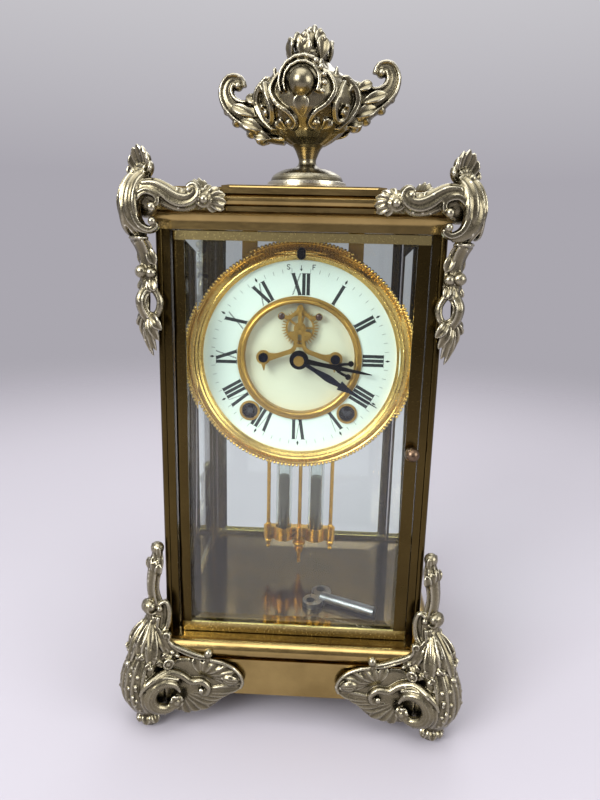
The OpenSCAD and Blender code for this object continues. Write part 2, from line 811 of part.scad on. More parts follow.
module dial_ring() {
    color("mintcream") at_dial() {
        plate_xz(dial_y, dial_y + dial_t) difference() {
            circle(r = dial_r + 1);
            circle(r = sight_r + 2);
            winder_holes(grommet_r);
            translate(REGULATOR) circle(r = regulator_r + seat);
        }
        dial_feet();
    }
}

module dial_center() {
    bridge_hole_r = 1;
    color("ivory") at_dial() plate_xz(disc_y, disc_y + disc_t) difference() {
        circle(r = sight_r + 1.9);
        circle(r = 3.4);
        translate(ESCAPE) circle(r = 2);
        translate(PALLET) circle(r = pivot_r + seat);
        for (s = [-1, 1]) translate([s * bridge_x, bridge_z]) circle(r = bridge_hole_r);
    }
}

module bezel() {
    rim_h = 2.4;
    crown_h = 5.6;
    color("gold") at_dial() difference() {
        turned_y([0, dial_y + dial_t, 0]) {
            polygon([
                [dial_r + 1 + fit, 0], [bezel_r, 0], [bezel_r, rim_h], [bezel_r - 0.8, rim_h + 0.5],
                [bezel_r - 1.3, rim_h + 0.2], [bezel_r - 4.2, crown_h], [bezel_r - 4.7, crown_h - 0.5],
                [dial_r + 1, crown_h - 1.8], [dial_r, crown_h - 3], [dial_r, dial_t], [dial_r + 1 + fit, dial_t]
            ]);
            translate([dial_r + 2, crown_h - 1.2]) circle(r = 0.8);
        }
        rod_y(REGULATOR, regulator_r + seat, dial_y - 20, plate_y);
    }
}

module dial_trims() {
    color("gold") at_dial() {
        turned_y([0, disc_y, 0]) difference() {
            union() {
                translate([sight_r, 0]) square([2 - fit, sight_depth + 0.6]);
                translate([sight_r + 1, sight_depth]) square([2.8, 1]);
                translate([sight_r + 1.2, sight_depth + 1.2]) circle(r = 1.2);
            }
            translate([sight_r - 0.8, sight_depth + 1.6]) circle(r = 1.2);
        }
        for (at = [TIME, STRIKE]) turned_y([at[0], dial_y, at[1]]) {
            translate([grommet_r - grommet_wall, -dial_t]) square([grommet_wall - fit, dial_t]);
            translate([grommet_r - grommet_wall, 0]) square([2 * grommet_wall, 0.8]);
        }
    }
}

// Escapement bridge and its screws

bridge_x = 19;
bridge_z = 0.5;
bridge_y = dial_y - 1.8;
bridge_t = 1.3;
bridge_boss_r = 3.2;

module bridge_outline() {
    translate(ESCAPE) circle(r = bridge_boss_r);
    for (s = [-1, 1]) {
        ribbon([[s * 2, escape_z - 2, 1], [s * 2, escape_z - 8, 0.9], [s * 3.8, escape_z - 11.6, 1.2],
            [s * 8, bridge_z + 2.4, 1.2], [s * 13, bridge_z + 0.8, 1.5], [s * bridge_x, bridge_z, 3]]);
        ribbon([[s * 2, escape_z - 2, 1], [s * 4.4, escape_z - 3, 1.1]], 2);
        translate([s * 4.6, escape_z - 3]) circle(r = 1.4);
        translate([s * 3.6, escape_z - 5]) circle(r = 1.1);
        translate([s * bridge_x, bridge_z]) circle(r = 3.8);
        ribbon([[s * bridge_x, bridge_z - 2, 1.6], [s * (bridge_x - 0.4), bridge_z - 7, 0.2]], 2);
    }
    ribbon([[0, escape_z, 1.1], [0, pallet_z, 0.9]], 2);
    translate([0, escape_z - 9]) square([4, 1.6], center = true);
    translate(PALLET) circle(r = 1.5);
}

module escapement_bridge() {
    color("goldenrod") at_dial() difference() {
        union() {
            plate_xz(bridge_y, bridge_y + bridge_t) bridge_outline();
            for (s = [-1, 1]) rod_y([s * bridge_x, bridge_z], 2.4, bridge_y, disc_y);
            rod_y(ESCAPE, bridge_boss_r - 0.8, bridge_y - 0.5, bridge_y + bridge_t);
        }
        for (at = [ESCAPE, PALLET]) rod_y(at, pivot_r + fit, bridge_y - past, disc_y);
        for (s = [-1, 1]) rod_y([s * bridge_x, bridge_z], 1 + fit, bridge_y - past, disc_y + past);
    }
}

module bridge_screws() {
    slot_w = 0.6;
    color("midnightblue") at_dial() for (s = [-1, 1]) difference() {
        union() {
            rod_y([s * bridge_x, bridge_z], 2.5, bridge_y - 1.4, bridge_y);
            rod_y([s * bridge_x, bridge_z], 1, bridge_y - 1, disc_y + disc_t);
        }
        translate([s * bridge_x - 3, bridge_y - 1.4 - past, bridge_z - slot_w / 2])
            cube([6, past + 0.6, slot_w]);
    }
}

// Toothed wheels, drawn round their own centre with one tooth on the X axis

// Outline of a wheel: module, teeth, height and depth of a tooth in modules, and the share of the pitch on each
// side of a tooth's middle at its root and at its tip
function teeth_line(m, n, high, low, root, tip) = let (r = m * n / 2, step = 360 / n) [
    for (i = [0:n - 1],
        q = [[-root, r - low * m], [-tip, r + high * m], [tip, r + high * m], [root, r - low * m]])
        polar(q[1], step * (i + q[0]))
];

module toothed(m, n) {
    polygon(teeth_line(m, n, 0.85, 1.2, 0.26, 0.09));
}

module leaved(m, n) {
    polygon(teeth_line(m, n, 0.7, 1.15, 0.17, 0.09));
}

module spokes(outer, hub, count, width) {
    difference() {
        circle(r = outer);
        circle(r = hub);
        for (i = [0:count - 1]) rotate(360 * i / count) translate([0, -width / 2]) square([outer, width]);
    }
}

// A crossed-out wheel in the XZ plane, from y0, with its first tooth at the given angle
module wheel(at, m, n, y0, t, angle, hub) {
    plate_xz(y0, y0 + t) translate(at) rotate(angle) difference() {
        toothed(m, n);
        spokes(m * n / 2 - 2.6 * m - 0.6, hub, 5, 1.8);
    }
}

module pinion(at, m, n, y0, y1, angle) {
    plate_xz(y0, y1) translate(at) rotate(angle) leaved(m, n);
}

// Angle of a pinion's first leaf whose gap takes the tooth of a wheel that stands on the line of centres
function in_gap(pinion_at, wheel_at, n) = heading(pinion_at, wheel_at) + 180 / n;

module arbor(at, r) {
    rod_y(at, r, plate_in + seat, back_y - seat);
    rod_y(at, pivot_r, plate_y + 0.2, back_out - 0.2);
}

// Movement plates

plate_hw = 45;
plate_top = 40;
plate_low = 59.5;
PILLARS = [
    for (s = [1, -1]) each [[s * (plate_hw - 6), plate_top - 6], [s * (plate_hw - 25), 4.5 - plate_low]]
];

module plate_outline() {
    hull() for (s = [-1, 1]) {
        translate([s * (plate_hw - 4), plate_top - 4]) circle(r = 4);
        translate([s * (plate_hw - 6), -winder_z + 1]) circle(r = 6);
        translate([s * (plate_hw - 25), 5 - plate_low]) circle(r = 5);
    }
}

module pivot_holes() {
    for (at = [THIRD, INTER, PINNED, FLY]) translate(at) circle(r = pivot_r + fit);
    for (at = [TIME, STRIKE]) translate(at) circle(r = winder_r + fit);
    translate(HAMMER) circle(r = arbor_r + fit);
}

winder_r = 2.5;

module front_plate() {
    lug_r = 4.6;
    color("darkgoldenrod") at_dial() difference() {
        union() {
            plate_xz(plate_y, plate_in) plate_outline();
            translate([-lug_r, plate_y, plate_top - lug_r])
                cube([2 * lug_r, plate_t, REGULATOR[1] + lug_r - plate_top]);
            rod_y(REGULATOR, lug_r, plate_y, plate_in);
        }
        plate_xz(plate_y - past, plate_in + past) {
            pivot_holes();
            circle(r = arbor_r + fit);
            translate(ESCAPE) circle(r = slim_r + seat);
            translate(PALLET) circle(r = pivot_r + fit);
            translate(MINUTE) circle(r = pivot_r + fit);
            translate(REGULATOR) circle(r = 1.4 + fit);
            for (at = PILLARS) translate(at) circle(r = 1.5);
        }
    }
}

module back_plate() {
    color("darkgoldenrod") at_dial() difference() {
        union() {
            plate_xz(back_y, back_out) plate_outline();
            for (at = PILLARS) {
                rod_y(at, 3, plate_in, back_y);
                rod_y(at, 1.5 - fit, plate_y - 2, plate_in);
                rod_y(at, 2.6, plate_y - 2.6, plate_y - 0.05);
            }
        }
        plate_xz(back_y - past, back_out + past) {
            pivot_holes();
            circle(r = pivot_r + fit);
            translate(ESCAPE) circle(r = pivot_r + fit);
            translate(PALLET) circle(r = arbor_r + fit);
        }
    }
}

hanger_x = 28;

module movement_hangers() {
    hanger_w = 8;
    hanger_t = 2.2;
    color("peru") for (s = [-1, 1]) {
        translate([s * hanger_x - hanger_w / 2, plate_in, dial_z + 28])
            cube([hanger_w, hanger_t, roof_z - shell_t - dial_z - 28]);
        translate([s * hanger_x - hanger_w / 2, plate_in, roof_z - shell_t - hanger_t])
            cube([hanger_w, 16, hanger_t]);
    }
}

// Winding: barrels on their arbors

drum_r = GREAT[0] * GREAT[1] / 2 - 1;

module barrel(at, tooth_angle) {
    difference() {
        union() {
            plate_xz(great_level, great_level + great_t) translate(at) rotate(tooth_angle)
                toothed(GREAT[0], GREAT[1]);
            rod_y(at, drum_r, drum_front, great_level);
        }
        rod_y(at, winder_r + fit, drum_front - past, great_level + great_t + past);
        turned_y([at[0], great_level - 1.4, at[1]]) translate([winder_r + 2.5, 0])
            square([drum_r - winder_r - 4.2, great_level - drum_front - 2.8]);
    }
}

module winding_arbor(at) {
    square_w = 3.2;
    ratchet_r = 7.5;
    ratchet_teeth = 20;
    rod_y(at, winder_r, plate_y - 2.4, back_out - 0.2);
    plate_xz(dial_y - 0.5, plate_y - 2) translate(at) square(square_w, center = true);
    plate_xz(plate_y - 2.2, plate_y - 0.4) translate(at) polygon([
        for (i = [0:ratchet_teeth - 1], q = [[0, ratchet_r], [0.85, ratchet_r - 1.4]])
            polar(q[1], 360 / ratchet_teeth * (i + q[0]))
    ]);
}

module time_barrel() {
    color("goldenrod") at_dial() barrel(TIME, heading(TIME, INTER));
}

module time_arbor() {
    color("silver") at_dial() winding_arbor(TIME);
}

module strike_barrel() {
    color("goldenrod") at_dial() barrel(STRIKE, heading(STRIKE, PINNED));
}

module strike_arbor() {
    color("silver") at_dial() winding_arbor(STRIKE);
}

// Going train

module intermediate_wheel() {
    color("goldenrod") at_dial() {
        arbor(INTER, arbor_r);
        pinion(INTER, GREAT[0], GREAT[2], great_level - 0.5, great_level + great_t + 0.4,
            in_gap(INTER, TIME, GREAT[2]));
        wheel(INTER, SECOND[0], SECOND[1], rear_level, wheel_t, heading(INTER, CENTER), 4);
    }
}

hour_y = dial_y - 4.4;
minute_y = hour_y - 1.8;
hand_t = 0.8;
cannon_r = 1.9;
pipe_r = 2.9;

module center_wheel() {
    cannon_y = plate_y - 1.4;
    color("goldenrod") at_dial() {
        rod_y(CENTER, arbor_r, plate_y - 2, back_y - 0.3);
        rod_y(CENTER, pivot_r, back_y - 1, back_out - 0.2);
        pinion(CENTER, SECOND[0], SECOND[2], rear_level - 0.6, rear_level + wheel_t + 0.6,
            in_gap(CENTER, INTER, SECOND[2]));
        wheel(CENTER, MIDDLE[0], MIDDLE[1], center_level, wheel_t, heading(CENTER, THIRD), 4);
        pinion(CENTER, CANNON[0], CANNON[2], cannon_y, plate_y - 0.3, in_gap(CENTER, MINUTE, CANNON[2]));
        rod_y(CENTER, cannon_r, minute_y - 1, plate_y - 0.4);
        turned_y([0, minute_y, 0]) square([2.7, 1.3]);
    }
}

module third_wheel() {
    color("goldenrod") at_dial() {
        arbor(THIRD, slim_r);
        pinion(THIRD, MIDDLE[0], MIDDLE[2], center_level - 0.6, center_level + wheel_t + 0.6,
            in_gap(THIRD, CENTER, MIDDLE[2]));
        wheel(THIRD, THIRD_PAIR[0], THIRD_PAIR[1], third_level, wheel_t, heading(THIRD, ESCAPE), 3.2);
    }
}

escape_y = dial_y + 0.6;

module escape_outline() {
    root_r = escape_r - 2.2;
    difference() {
        polygon([
            for (i = [0:escape_teeth - 1],
                q = [[-0.3, root_r], [-0.05, escape_r], [0.04, escape_r], [0.16, root_r]])
                polar(q[1], 360 / escape_teeth * (i + q[0]))
        ]);
        spokes(root_r - 1, 2.2, 5, 1.1);
    }
}

module escape_wheel() {
    color("goldenrod") at_dial() {
        plate_xz(escape_y, escape_y + wheel_t) translate(ESCAPE) escape_outline();
        rod_y(ESCAPE, slim_r, bridge_y + bridge_t + 0.2, back_y - seat);
        rod_y(ESCAPE, 1.6, escape_y - 0.4, escape_y + wheel_t + 0.8);
        rod_y(ESCAPE, pivot_r, bridge_y - 0.3, bridge_y + bridge_t + 0.4);
        rod_y(ESCAPE, pivot_r, back_y - 1, back_out - 0.2);
        pinion(ESCAPE, THIRD_PAIR[0], THIRD_PAIR[2], third_level - 0.6, third_level + wheel_t + 0.6,
            in_gap(ESCAPE, THIRD, THIRD_PAIR[2]));
    }
}

// Pallets on their arbor, with the crutch behind the back plate

rod_r = 1.2;
crutch_y = back_out + 2.4;
crutch_len = 34;
// The pallets are pins that reach back from the anchor, which lies before the wheel; pallet_clear keeps
// them off the teeth
pallet_clear = 1;
pallet_pin_r = 0.7;
pallet_head_r = 2;
anchor_t = 0.55;
anchor_y = escape_y - anchor_t - 0.25;
PALLET_PIN = ESCAPE + polar(escape_r + pallet_clear + pallet_pin_r, 32);

module pallet_outline() {
    for (s = [-1, 1]) {
        ribbon([[s * 0.4, pallet_z, 1], [s * 2.4, pallet_z - 3, 0.9], [s * 6, pallet_z - 5.2, 0.9],
            [s * PALLET_PIN[0], PALLET_PIN[1], 1.2]]);
        translate([s * PALLET_PIN[0], PALLET_PIN[1]]) circle(r = pallet_head_r);
    }
    translate(PALLET) circle(r = 1.5);
}

module pallet_anchor() {
    fork_gap = rod_r + 0.35;
    prong_r = 0.8;
    color("darkgoldenrod") at_dial() {
        plate_xz(anchor_y, anchor_y + anchor_t) pallet_outline();
        for (s = [-1, 1]) rod_y([s * PALLET_PIN[0], PALLET_PIN[1]], pallet_pin_r, anchor_y, escape_y + wheel_t);
        rod_y(PALLET, arbor_r, plate_in + seat, crutch_y + 1.2);
        rod_y(PALLET, pivot_r, bridge_y + 0.1, plate_in + past);
        plate_xz(crutch_y, crutch_y + 1.2) {
            translate([-1.2, pallet_z - crutch_len]) square([2.4, crutch_len]);
            translate(PALLET) circle(r = 2.6);
            translate([-fork_gap - 2 * prong_r, pallet_z - crutch_len - 1.2])
                square([2 * fork_gap + 4 * prong_r, 2.4]);
        }
        for (s = [-1, 1])
            rod_y([s * (fork_gap + prong_r), pallet_z - crutch_len], prong_r, crutch_y, pendulum_y + 2);
    }
}

// Motion work and hands

hour_angle = 90 - shown_minutes / 2;
minute_angle = 90 - shown_minutes * 6;

module minute_wheel() {
    color("goldenrod") at_dial() {
        wheel(MINUTE, CANNON[0], CANNON[1], plate_y - 1.4, 1, heading(MINUTE, CENTER), 3.6);
        pinion(MINUTE, HOUR[0], HOUR[2], disc_y + disc_t + 0.3, plate_y - 1.2, in_gap(MINUTE, CENTER, HOUR[2]));
        rod_y(MINUTE, pivot_r, disc_y + disc_t + 0.3, plate_in - 0.2);
    }
}

module hour_wheel() {
    color("goldenrod") at_dial() difference() {
        union() {
            wheel(CENTER, HOUR[0], HOUR[1], disc_y + disc_t + 0.4, 1, heading(CENTER, MINUTE), 4.2);
            rod_y(CENTER, pipe_r, hour_y, disc_y + disc_t + 1.4);
        }
        rod_y(CENTER, cannon_r + fit, hour_y - past, plate_y);
    }
}

// Half outlines of the hands, pointing along X
module hour_outline() {
    scale_x = hour_len / 39;
    ribbon([[4, 0, 1.5], [12, 0, 1.1], [20, 0, 1.3], [26, 0, 0.9], [hour_len * 0.85, 0, 0.7],
        [hour_len, 0, 0.15]]);
    for (s = [-1, 1]) {
        ribbon([[19 * scale_x, 0, 0.9], [23 * scale_x, s * 2.4, 0.7], [27 * scale_x, s * 3.4, 0.7]]);
        translate([27 * scale_x, s * 3.6]) circle(r = 1.5);
        translate([21.4 * scale_x, s * 1.5]) circle(r = 1);
    }
}

module minute_outline() {
    arrow_x = minute_len * 0.56;
    ribbon([[3, 0, 0.9], [10, 0, 1.1], [18, 0, 1.9], [24, 0, 1.2], [arrow_x + 2, 0, 0.8]]);
    polygon([[arrow_x - 2, -2.6], [arrow_x + 6, -0.6], [arrow_x + 6, 0.6], [arrow_x - 2, 2.6]]);
    ribbon([[arrow_x + 4, 0, 1], [minute_len * 0.8, 0, 0.6], [minute_len, 0, 0.15]]);
}

module hour_hand() {
    color("black") at_dial() difference() {
        union() {
            plate_xz(hour_y, hour_y + hand_t) rotate(hour_angle) hour_outline();
            rod_y(CENTER, 5, hour_y, hour_y + hand_t);
        }
        rod_y(CENTER, pipe_r + fit, hour_y - past, hour_y + hand_t + past);
    }
}

module minute_hand() {
    color("midnightblue") at_dial() difference() {
        union() {
            plate_xz(minute_y, minute_y + hand_t) rotate(minute_angle) minute_outline();
            rod_y(CENTER, 3.8, minute_y, minute_y + hand_t);
        }
        rod_y(CENTER, cannon_r + fit, minute_y - past, minute_y + hand_t + past);
    }
}

module regulator_arbor() {
    color("dimgray") at_dial() {
        rod_y(REGULATOR, 1.4, dial_y, plate_in + 1.6);
        rod_y(REGULATOR, regulator_r, plate_in + 0.2, plate_in + 2);
        rod_y(REGULATOR, regulator_r, dial_y - 3.2, plate_y - 0.3);
        plate_xz(dial_y - 5, dial_y - 3) translate(REGULATOR) square(2.2, center = true);
    }
}

// Strike train, hammer and gong

module pin_wheel() {
    pins = 8;
    pin_ring = PIN_PAIR[0] * PIN_PAIR[1] / 2 - 1.2;
    color("goldenrod") at_dial() {
        arbor(PINNED, arbor_r);
        pinion(PINNED, GREAT[0], GREAT[2], great_level - 0.5, great_level + great_t + 0.4,
            in_gap(PINNED, STRIKE, GREAT[2]));
        wheel(PINNED, PIN_PAIR[0], PIN_PAIR[1], rear_level, wheel_t, heading(PINNED, FLY), 4);
        for (i = [0:pins - 1]) rod_y(PINNED + polar(pin_ring, 360 * (i + 0.5) / pins), 0.5,
            rear_level + 0.2, rear_level + wheel_t + 2);
    }
}

module fly() {
    vane_r = 8;
    vane_t = 0.6;
    color("goldenrod") at_dial() {
        arbor(FLY, slim_r);
        pinion(FLY, PIN_PAIR[0], PIN_PAIR[2], rear_level - 0.6, rear_level + wheel_t + 0.6,
            in_gap(FLY, PINNED, PIN_PAIR[2]));
        plate_xz(plate_in + 2, plate_in + 10) translate(FLY) square([2 * vane_r, vane_t], center = true);
    }
}

gong_y = pendulum_y + 20;
stud_angle = -35;
hammer_angle = -62;
hammer_r = 3;
HEAD = polar(gong_r + gong_wire_r + hammer_r + 1, hammer_angle);

module hammer() {
    arm_y = back_out + 0.4;
    color("darkgoldenrod") at_dial() {
        rod_y(HAMMER, arbor_r, plate_y + 0.2, arm_y + 1.6);
        plate_xz(arm_y, arm_y + 1.6) {
            ribbon([[HAMMER[0], HAMMER[1], 2], [HEAD[0], HEAD[1], 1.4]], 2);
            translate(HAMMER) circle(r = 2.4);
            translate(HEAD) circle(r = 2);
        }
        rod_y(HEAD, 1, arm_y, gong_y - 2);
        rod_y(HEAD, hammer_r, gong_y - 4, gong_y + 4);
    }
}

// Places along the gong's wire, from the stud inwards
gong_steps = 24 * gong_turns;
GONG_LINE = [for (i = [0:gong_steps]) polar(gong_r - gong_pitch * i / 24, stud_angle + 15 * i)];
gong_gap = min([for (i = [0:gong_steps - 24]) norm(GONG_LINE[i] - GONG_LINE[i + 24])]) - 2 * gong_wire_r;
echo(gong_least_gap = gong_gap);

module gong() {
    stud_r = 3;
    color("slategray") at_dial() {
        rod_y(GONG_LINE[0], stud_r, back_out, gong_y + 3);
        translate([0, gong_y, 0])
            scroll([for (p = GONG_LINE) [p[0], p[1], gong_wire_r, gong_wire_r]], 1, 6);
    }
}

// Pendulum on its suspension

cock_z = pallet_z + 4;
lug_near = pendulum_y - 3;
lug_far = pendulum_y + 3;
lug_t = 2;

module suspension_cock() {
    color("darkgoldenrod") at_dial() difference() {
        union() {
            translate([-5, back_out, cock_z]) cube([10, lug_far + lug_t - back_out, 4]);
            translate([-5, back_out, cock_z - 3]) cube([10, 2, 3.5]);
            for (y = [lug_near - lug_t, lug_far]) plate_xz(y, y + lug_t) {
                translate([-3, pallet_z]) square([6, cock_z - pallet_z + 1]);
                translate(PALLET) circle(r = 3);
            }
        }
        rod_y(PALLET, arbor_r + 0.4, back_out - past, back_out + 2.2);
        rod_y(PALLET, pin_r + fit, lug_near - lug_t - past, lug_far + lug_t + past);
    }
}

vial_z = base_top + vial_rise;
vial_top = vial_z + vial_len;
bracket_h = 8.6;
yoke_h = 4;
cup_floor = 2.2;
bracket_z = vial_z - cup_floor;
rod_tip_z = floor_z + 4.4;

module pendulum_rod() {
    chop_z = dial_z + pallet_z;
    color("goldenrod") {
        rod_y([0, chop_z], pin_r, lug_near - lug_t, lug_far + lug_t);
        rod_y([0, chop_z], 2.4, lug_near + 0.3, lug_far - 0.3);
        translate([-0.3, pendulum_y - 2, chop_z - 12]) cube([0.6, 4, 11]);
        translate([-2, pendulum_y - 2.5, chop_z - 15]) cube([4, 5, 4]);
        translate([0, pendulum_y, rod_tip_z]) cylinder(r = rod_r, h = chop_z - 13 - rod_tip_z);
    }
}

module frame_outline(lobe_r) {
    translate([-side_rod_x, -2.6]) square([2 * side_rod_x, 5.2]);
    for (s = [-1, 1]) {
        translate([s * side_rod_x, 0]) circle(r = 3);
        translate([s * vial_x, 0]) circle(r = vial_r + lobe_r);
    }
    circle(r = 3.6);
}

module pendulum_frame() {
    drop_r = 2.3;
    tip_r = 1.5;
    rod_low = bracket_z - 2 * drop_r - tip_r;
    color("gold") translate([0, pendulum_y, 0]) difference() {
        union() {
            translate([0, 0, bracket_z]) linear_extrude(height = bracket_h) frame_outline(1.2);
            translate([0, 0, vial_top + 0.4]) linear_extrude(height = yoke_h) frame_outline(0.6);
            for (s = [-1, 1]) translate([s * side_rod_x, 0, 0]) {
                translate([0, 0, rod_low]) cylinder(r = 1.2, h = vial_top + 9 - rod_low);
                translate([0, 0, rod_low]) sphere(r = tip_r);
                translate([0, 0, bracket_z - drop_r]) sphere(r = drop_r);
                for (z = [bracket_z + bracket_h + 0.8, vial_top + 9]) translate([0, 0, z]) sphere(r = 1.8);
            }
        }
        translate([0, 0, bracket_z - past]) cylinder(r = rod_r + fit, h = vial_len + bracket_h + 20);
        for (s = [-1, 1]) translate([s * vial_x, 0, vial_z]) cylinder(r = vial_r + fit, h = vial_len + fit);
    }
}

vial_wall = 1.7;

module pendulum_vials() {
    color("lightcyan", 0.5) for (s = [-1, 1]) translate([s * vial_x, pendulum_y, vial_z]) difference() {
        cylinder(r = vial_r, h = vial_len);
        translate([0, 0, vial_wall]) cylinder(r = vial_r - vial_wall, h = vial_len);
    }
}

module mercury() {
    color("gray") for (s = [-1, 1]) translate([s * vial_x, pendulum_y, vial_z + vial_wall])
        cylinder(r = vial_r - vial_wall - fit, h = mercury_len);
}

module rating_nut() {
    nut_h = 9;
    knurl_r = 4.4;
    color("gold") translate([0, pendulum_y, bracket_z - nut_h - 0.1]) rotate_extrude() {
        translate([rod_r + fit, 0]) square([1.1, nut_h]);
        translate([rod_r + fit, 1.4]) square([1.9, 1.8]);
        translate([rod_r + fit, 5]) square([knurl_r - 1.2 - rod_r, 2.4]);
        translate([knurl_r - 1.2, 6.2]) circle(r = 1.2);
    }
}

// Winding key, lying on the floor plate

key_r = 3;
key_len = 34;

module winding_key() {
    bow_r = 6;
    color("lightsteelblue") translate([16, -0.22 * case_d, floor_z]) rotate([0, 0, -25]) {
        translate([0, 0, key_r]) rotate([0, 90, 0]) difference() {
            cylinder(r = key_r, h = key_len);
            translate([0, 0, key_len - 10]) rotate([0, 0, 45]) cylinder(r = 2.4, h = 11, $fn = 4);
        }
        linear_extrude(height = 3.2) difference() {
            union() {
                for (s = [-1, 1]) translate([-3, s * bow_r]) circle(r = bow_r);
                translate([-4, -4]) square([8, 8]);
            }
            for (s = [-1, 1]) translate([-4, s * (bow_r + 1)]) circle(r = bow_r * 0.45);
        }
    }
}

base_plinth();
floor_plate();
foot_front_left();
foot_front_right();
foot_rear_left();
foot_rear_right();
toes();
corner_posts();
cornice();
top_cap();
corner_mount_front_left();
corner_mount_front_right();
corner_mount_rear_left();
corner_mount_rear_right();
side_glass_left();
side_glass_right();
door_pins();
urn_foot();
urn_bowl();
urn_flame();
front_door_frame();
front_door_glass();
front_door_knob();
back_door_frame();
back_door_glass();
back_door_knob();
movement_hangers();
front_plate();
back_plate();
dial_ring();
dial_center();
bezel();
dial_trims();
escapement_bridge();
bridge_screws();
suspension_cock();
gong();
time_barrel();
time_arbor();
intermediate_wheel();
center_wheel();
third_wheel();
escape_wheel();
strike_barrel();
strike_arbor();
pin_wheel();
fly();
hammer();
minute_wheel();
hour_wheel();
hour_hand();
minute_hand();
pallet_anchor();
pendulum_rod();
pendulum_frame();
pendulum_vials();
mercury();
rating_nut();
regulator_arbor();
winding_key();
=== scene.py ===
"""Crystal regulator clock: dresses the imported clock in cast, turned, glazed and bevelled-glass finishes."""
import logging
import math
from dataclasses import dataclass
from enum import Enum
from functools import cache
from typing import Iterable, Sequence

import bmesh
import bpy
import numpy as np
from mathutils import Euler, Matrix, Vector


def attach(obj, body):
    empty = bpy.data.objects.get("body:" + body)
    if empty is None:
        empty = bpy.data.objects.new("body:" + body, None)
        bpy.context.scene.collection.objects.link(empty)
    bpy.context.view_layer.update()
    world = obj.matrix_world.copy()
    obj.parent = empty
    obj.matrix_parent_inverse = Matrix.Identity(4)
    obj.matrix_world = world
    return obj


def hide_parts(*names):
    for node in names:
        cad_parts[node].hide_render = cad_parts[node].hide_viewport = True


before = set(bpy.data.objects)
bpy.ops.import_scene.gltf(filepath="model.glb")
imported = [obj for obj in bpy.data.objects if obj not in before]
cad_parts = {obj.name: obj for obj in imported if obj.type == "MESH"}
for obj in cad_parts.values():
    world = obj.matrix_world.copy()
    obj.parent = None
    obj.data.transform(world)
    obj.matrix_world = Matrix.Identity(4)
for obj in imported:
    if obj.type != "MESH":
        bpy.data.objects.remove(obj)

LOG = logging.getLogger("clock")
MM = 0.001
TINY = 1e-12
UP = np.array([0.0, 0.0, 1.0])
Point = Sequence[float]
Rows = Iterable[Point]


def linear(code: str) -> tuple[float, float, float, float]:
    """Turns an sRGB hex colour into linear values.

    Args:
        code: six hex digits, with or without a leading hash.

    Returns:
        Linear red, green and blue, and an alpha of 1.
    """
    parts = [int(code.lstrip("#")[i:i + 2], 16) / 255 for i in (0, 2, 4)]
    red, green, blue = (p / 12.92 if p <= 0.04045 else ((p + 0.055) / 1.055) ** 2.4 for p in parts)
    return red, green, blue, 1.0


def add_node(tree: bpy.types.NodeTree, kind: str, settings: dict | None = None,
             links: dict | None = None) -> bpy.types.Node:
    """Adds one node to a tree.

    Args:
        tree: the node tree of a material or of the world.
        kind: Blender's name of the node type, without its leading ShaderNode.
        settings: values by input name, input number or property name.
        links: for an input's name or number, the node and the output that feed it.

    Returns:
        The new node.
    """
    node = tree.nodes.new("ShaderNode" + kind)
    for key, value in (settings or {}).items():
        if isinstance(key, int) or key in node.inputs:
            node.inputs[key].default_value = value
        else:
            setattr(node, key, value)
    for key, (source, output) in (links or {}).items():
        tree.links.new(source.outputs[output], node.inputs[key])
    return node


def new_material(name: str) -> tuple[bpy.types.Material, bpy.types.NodeTree]:
    """Makes an empty node material.

    Args:
        name: the material's name.

    Returns:
        The material and its empty node tree.
    """
    material = bpy.data.materials.new(name)
    material.use_nodes = True
    material.node_tree.nodes.clear()
    return material, material.node_tree


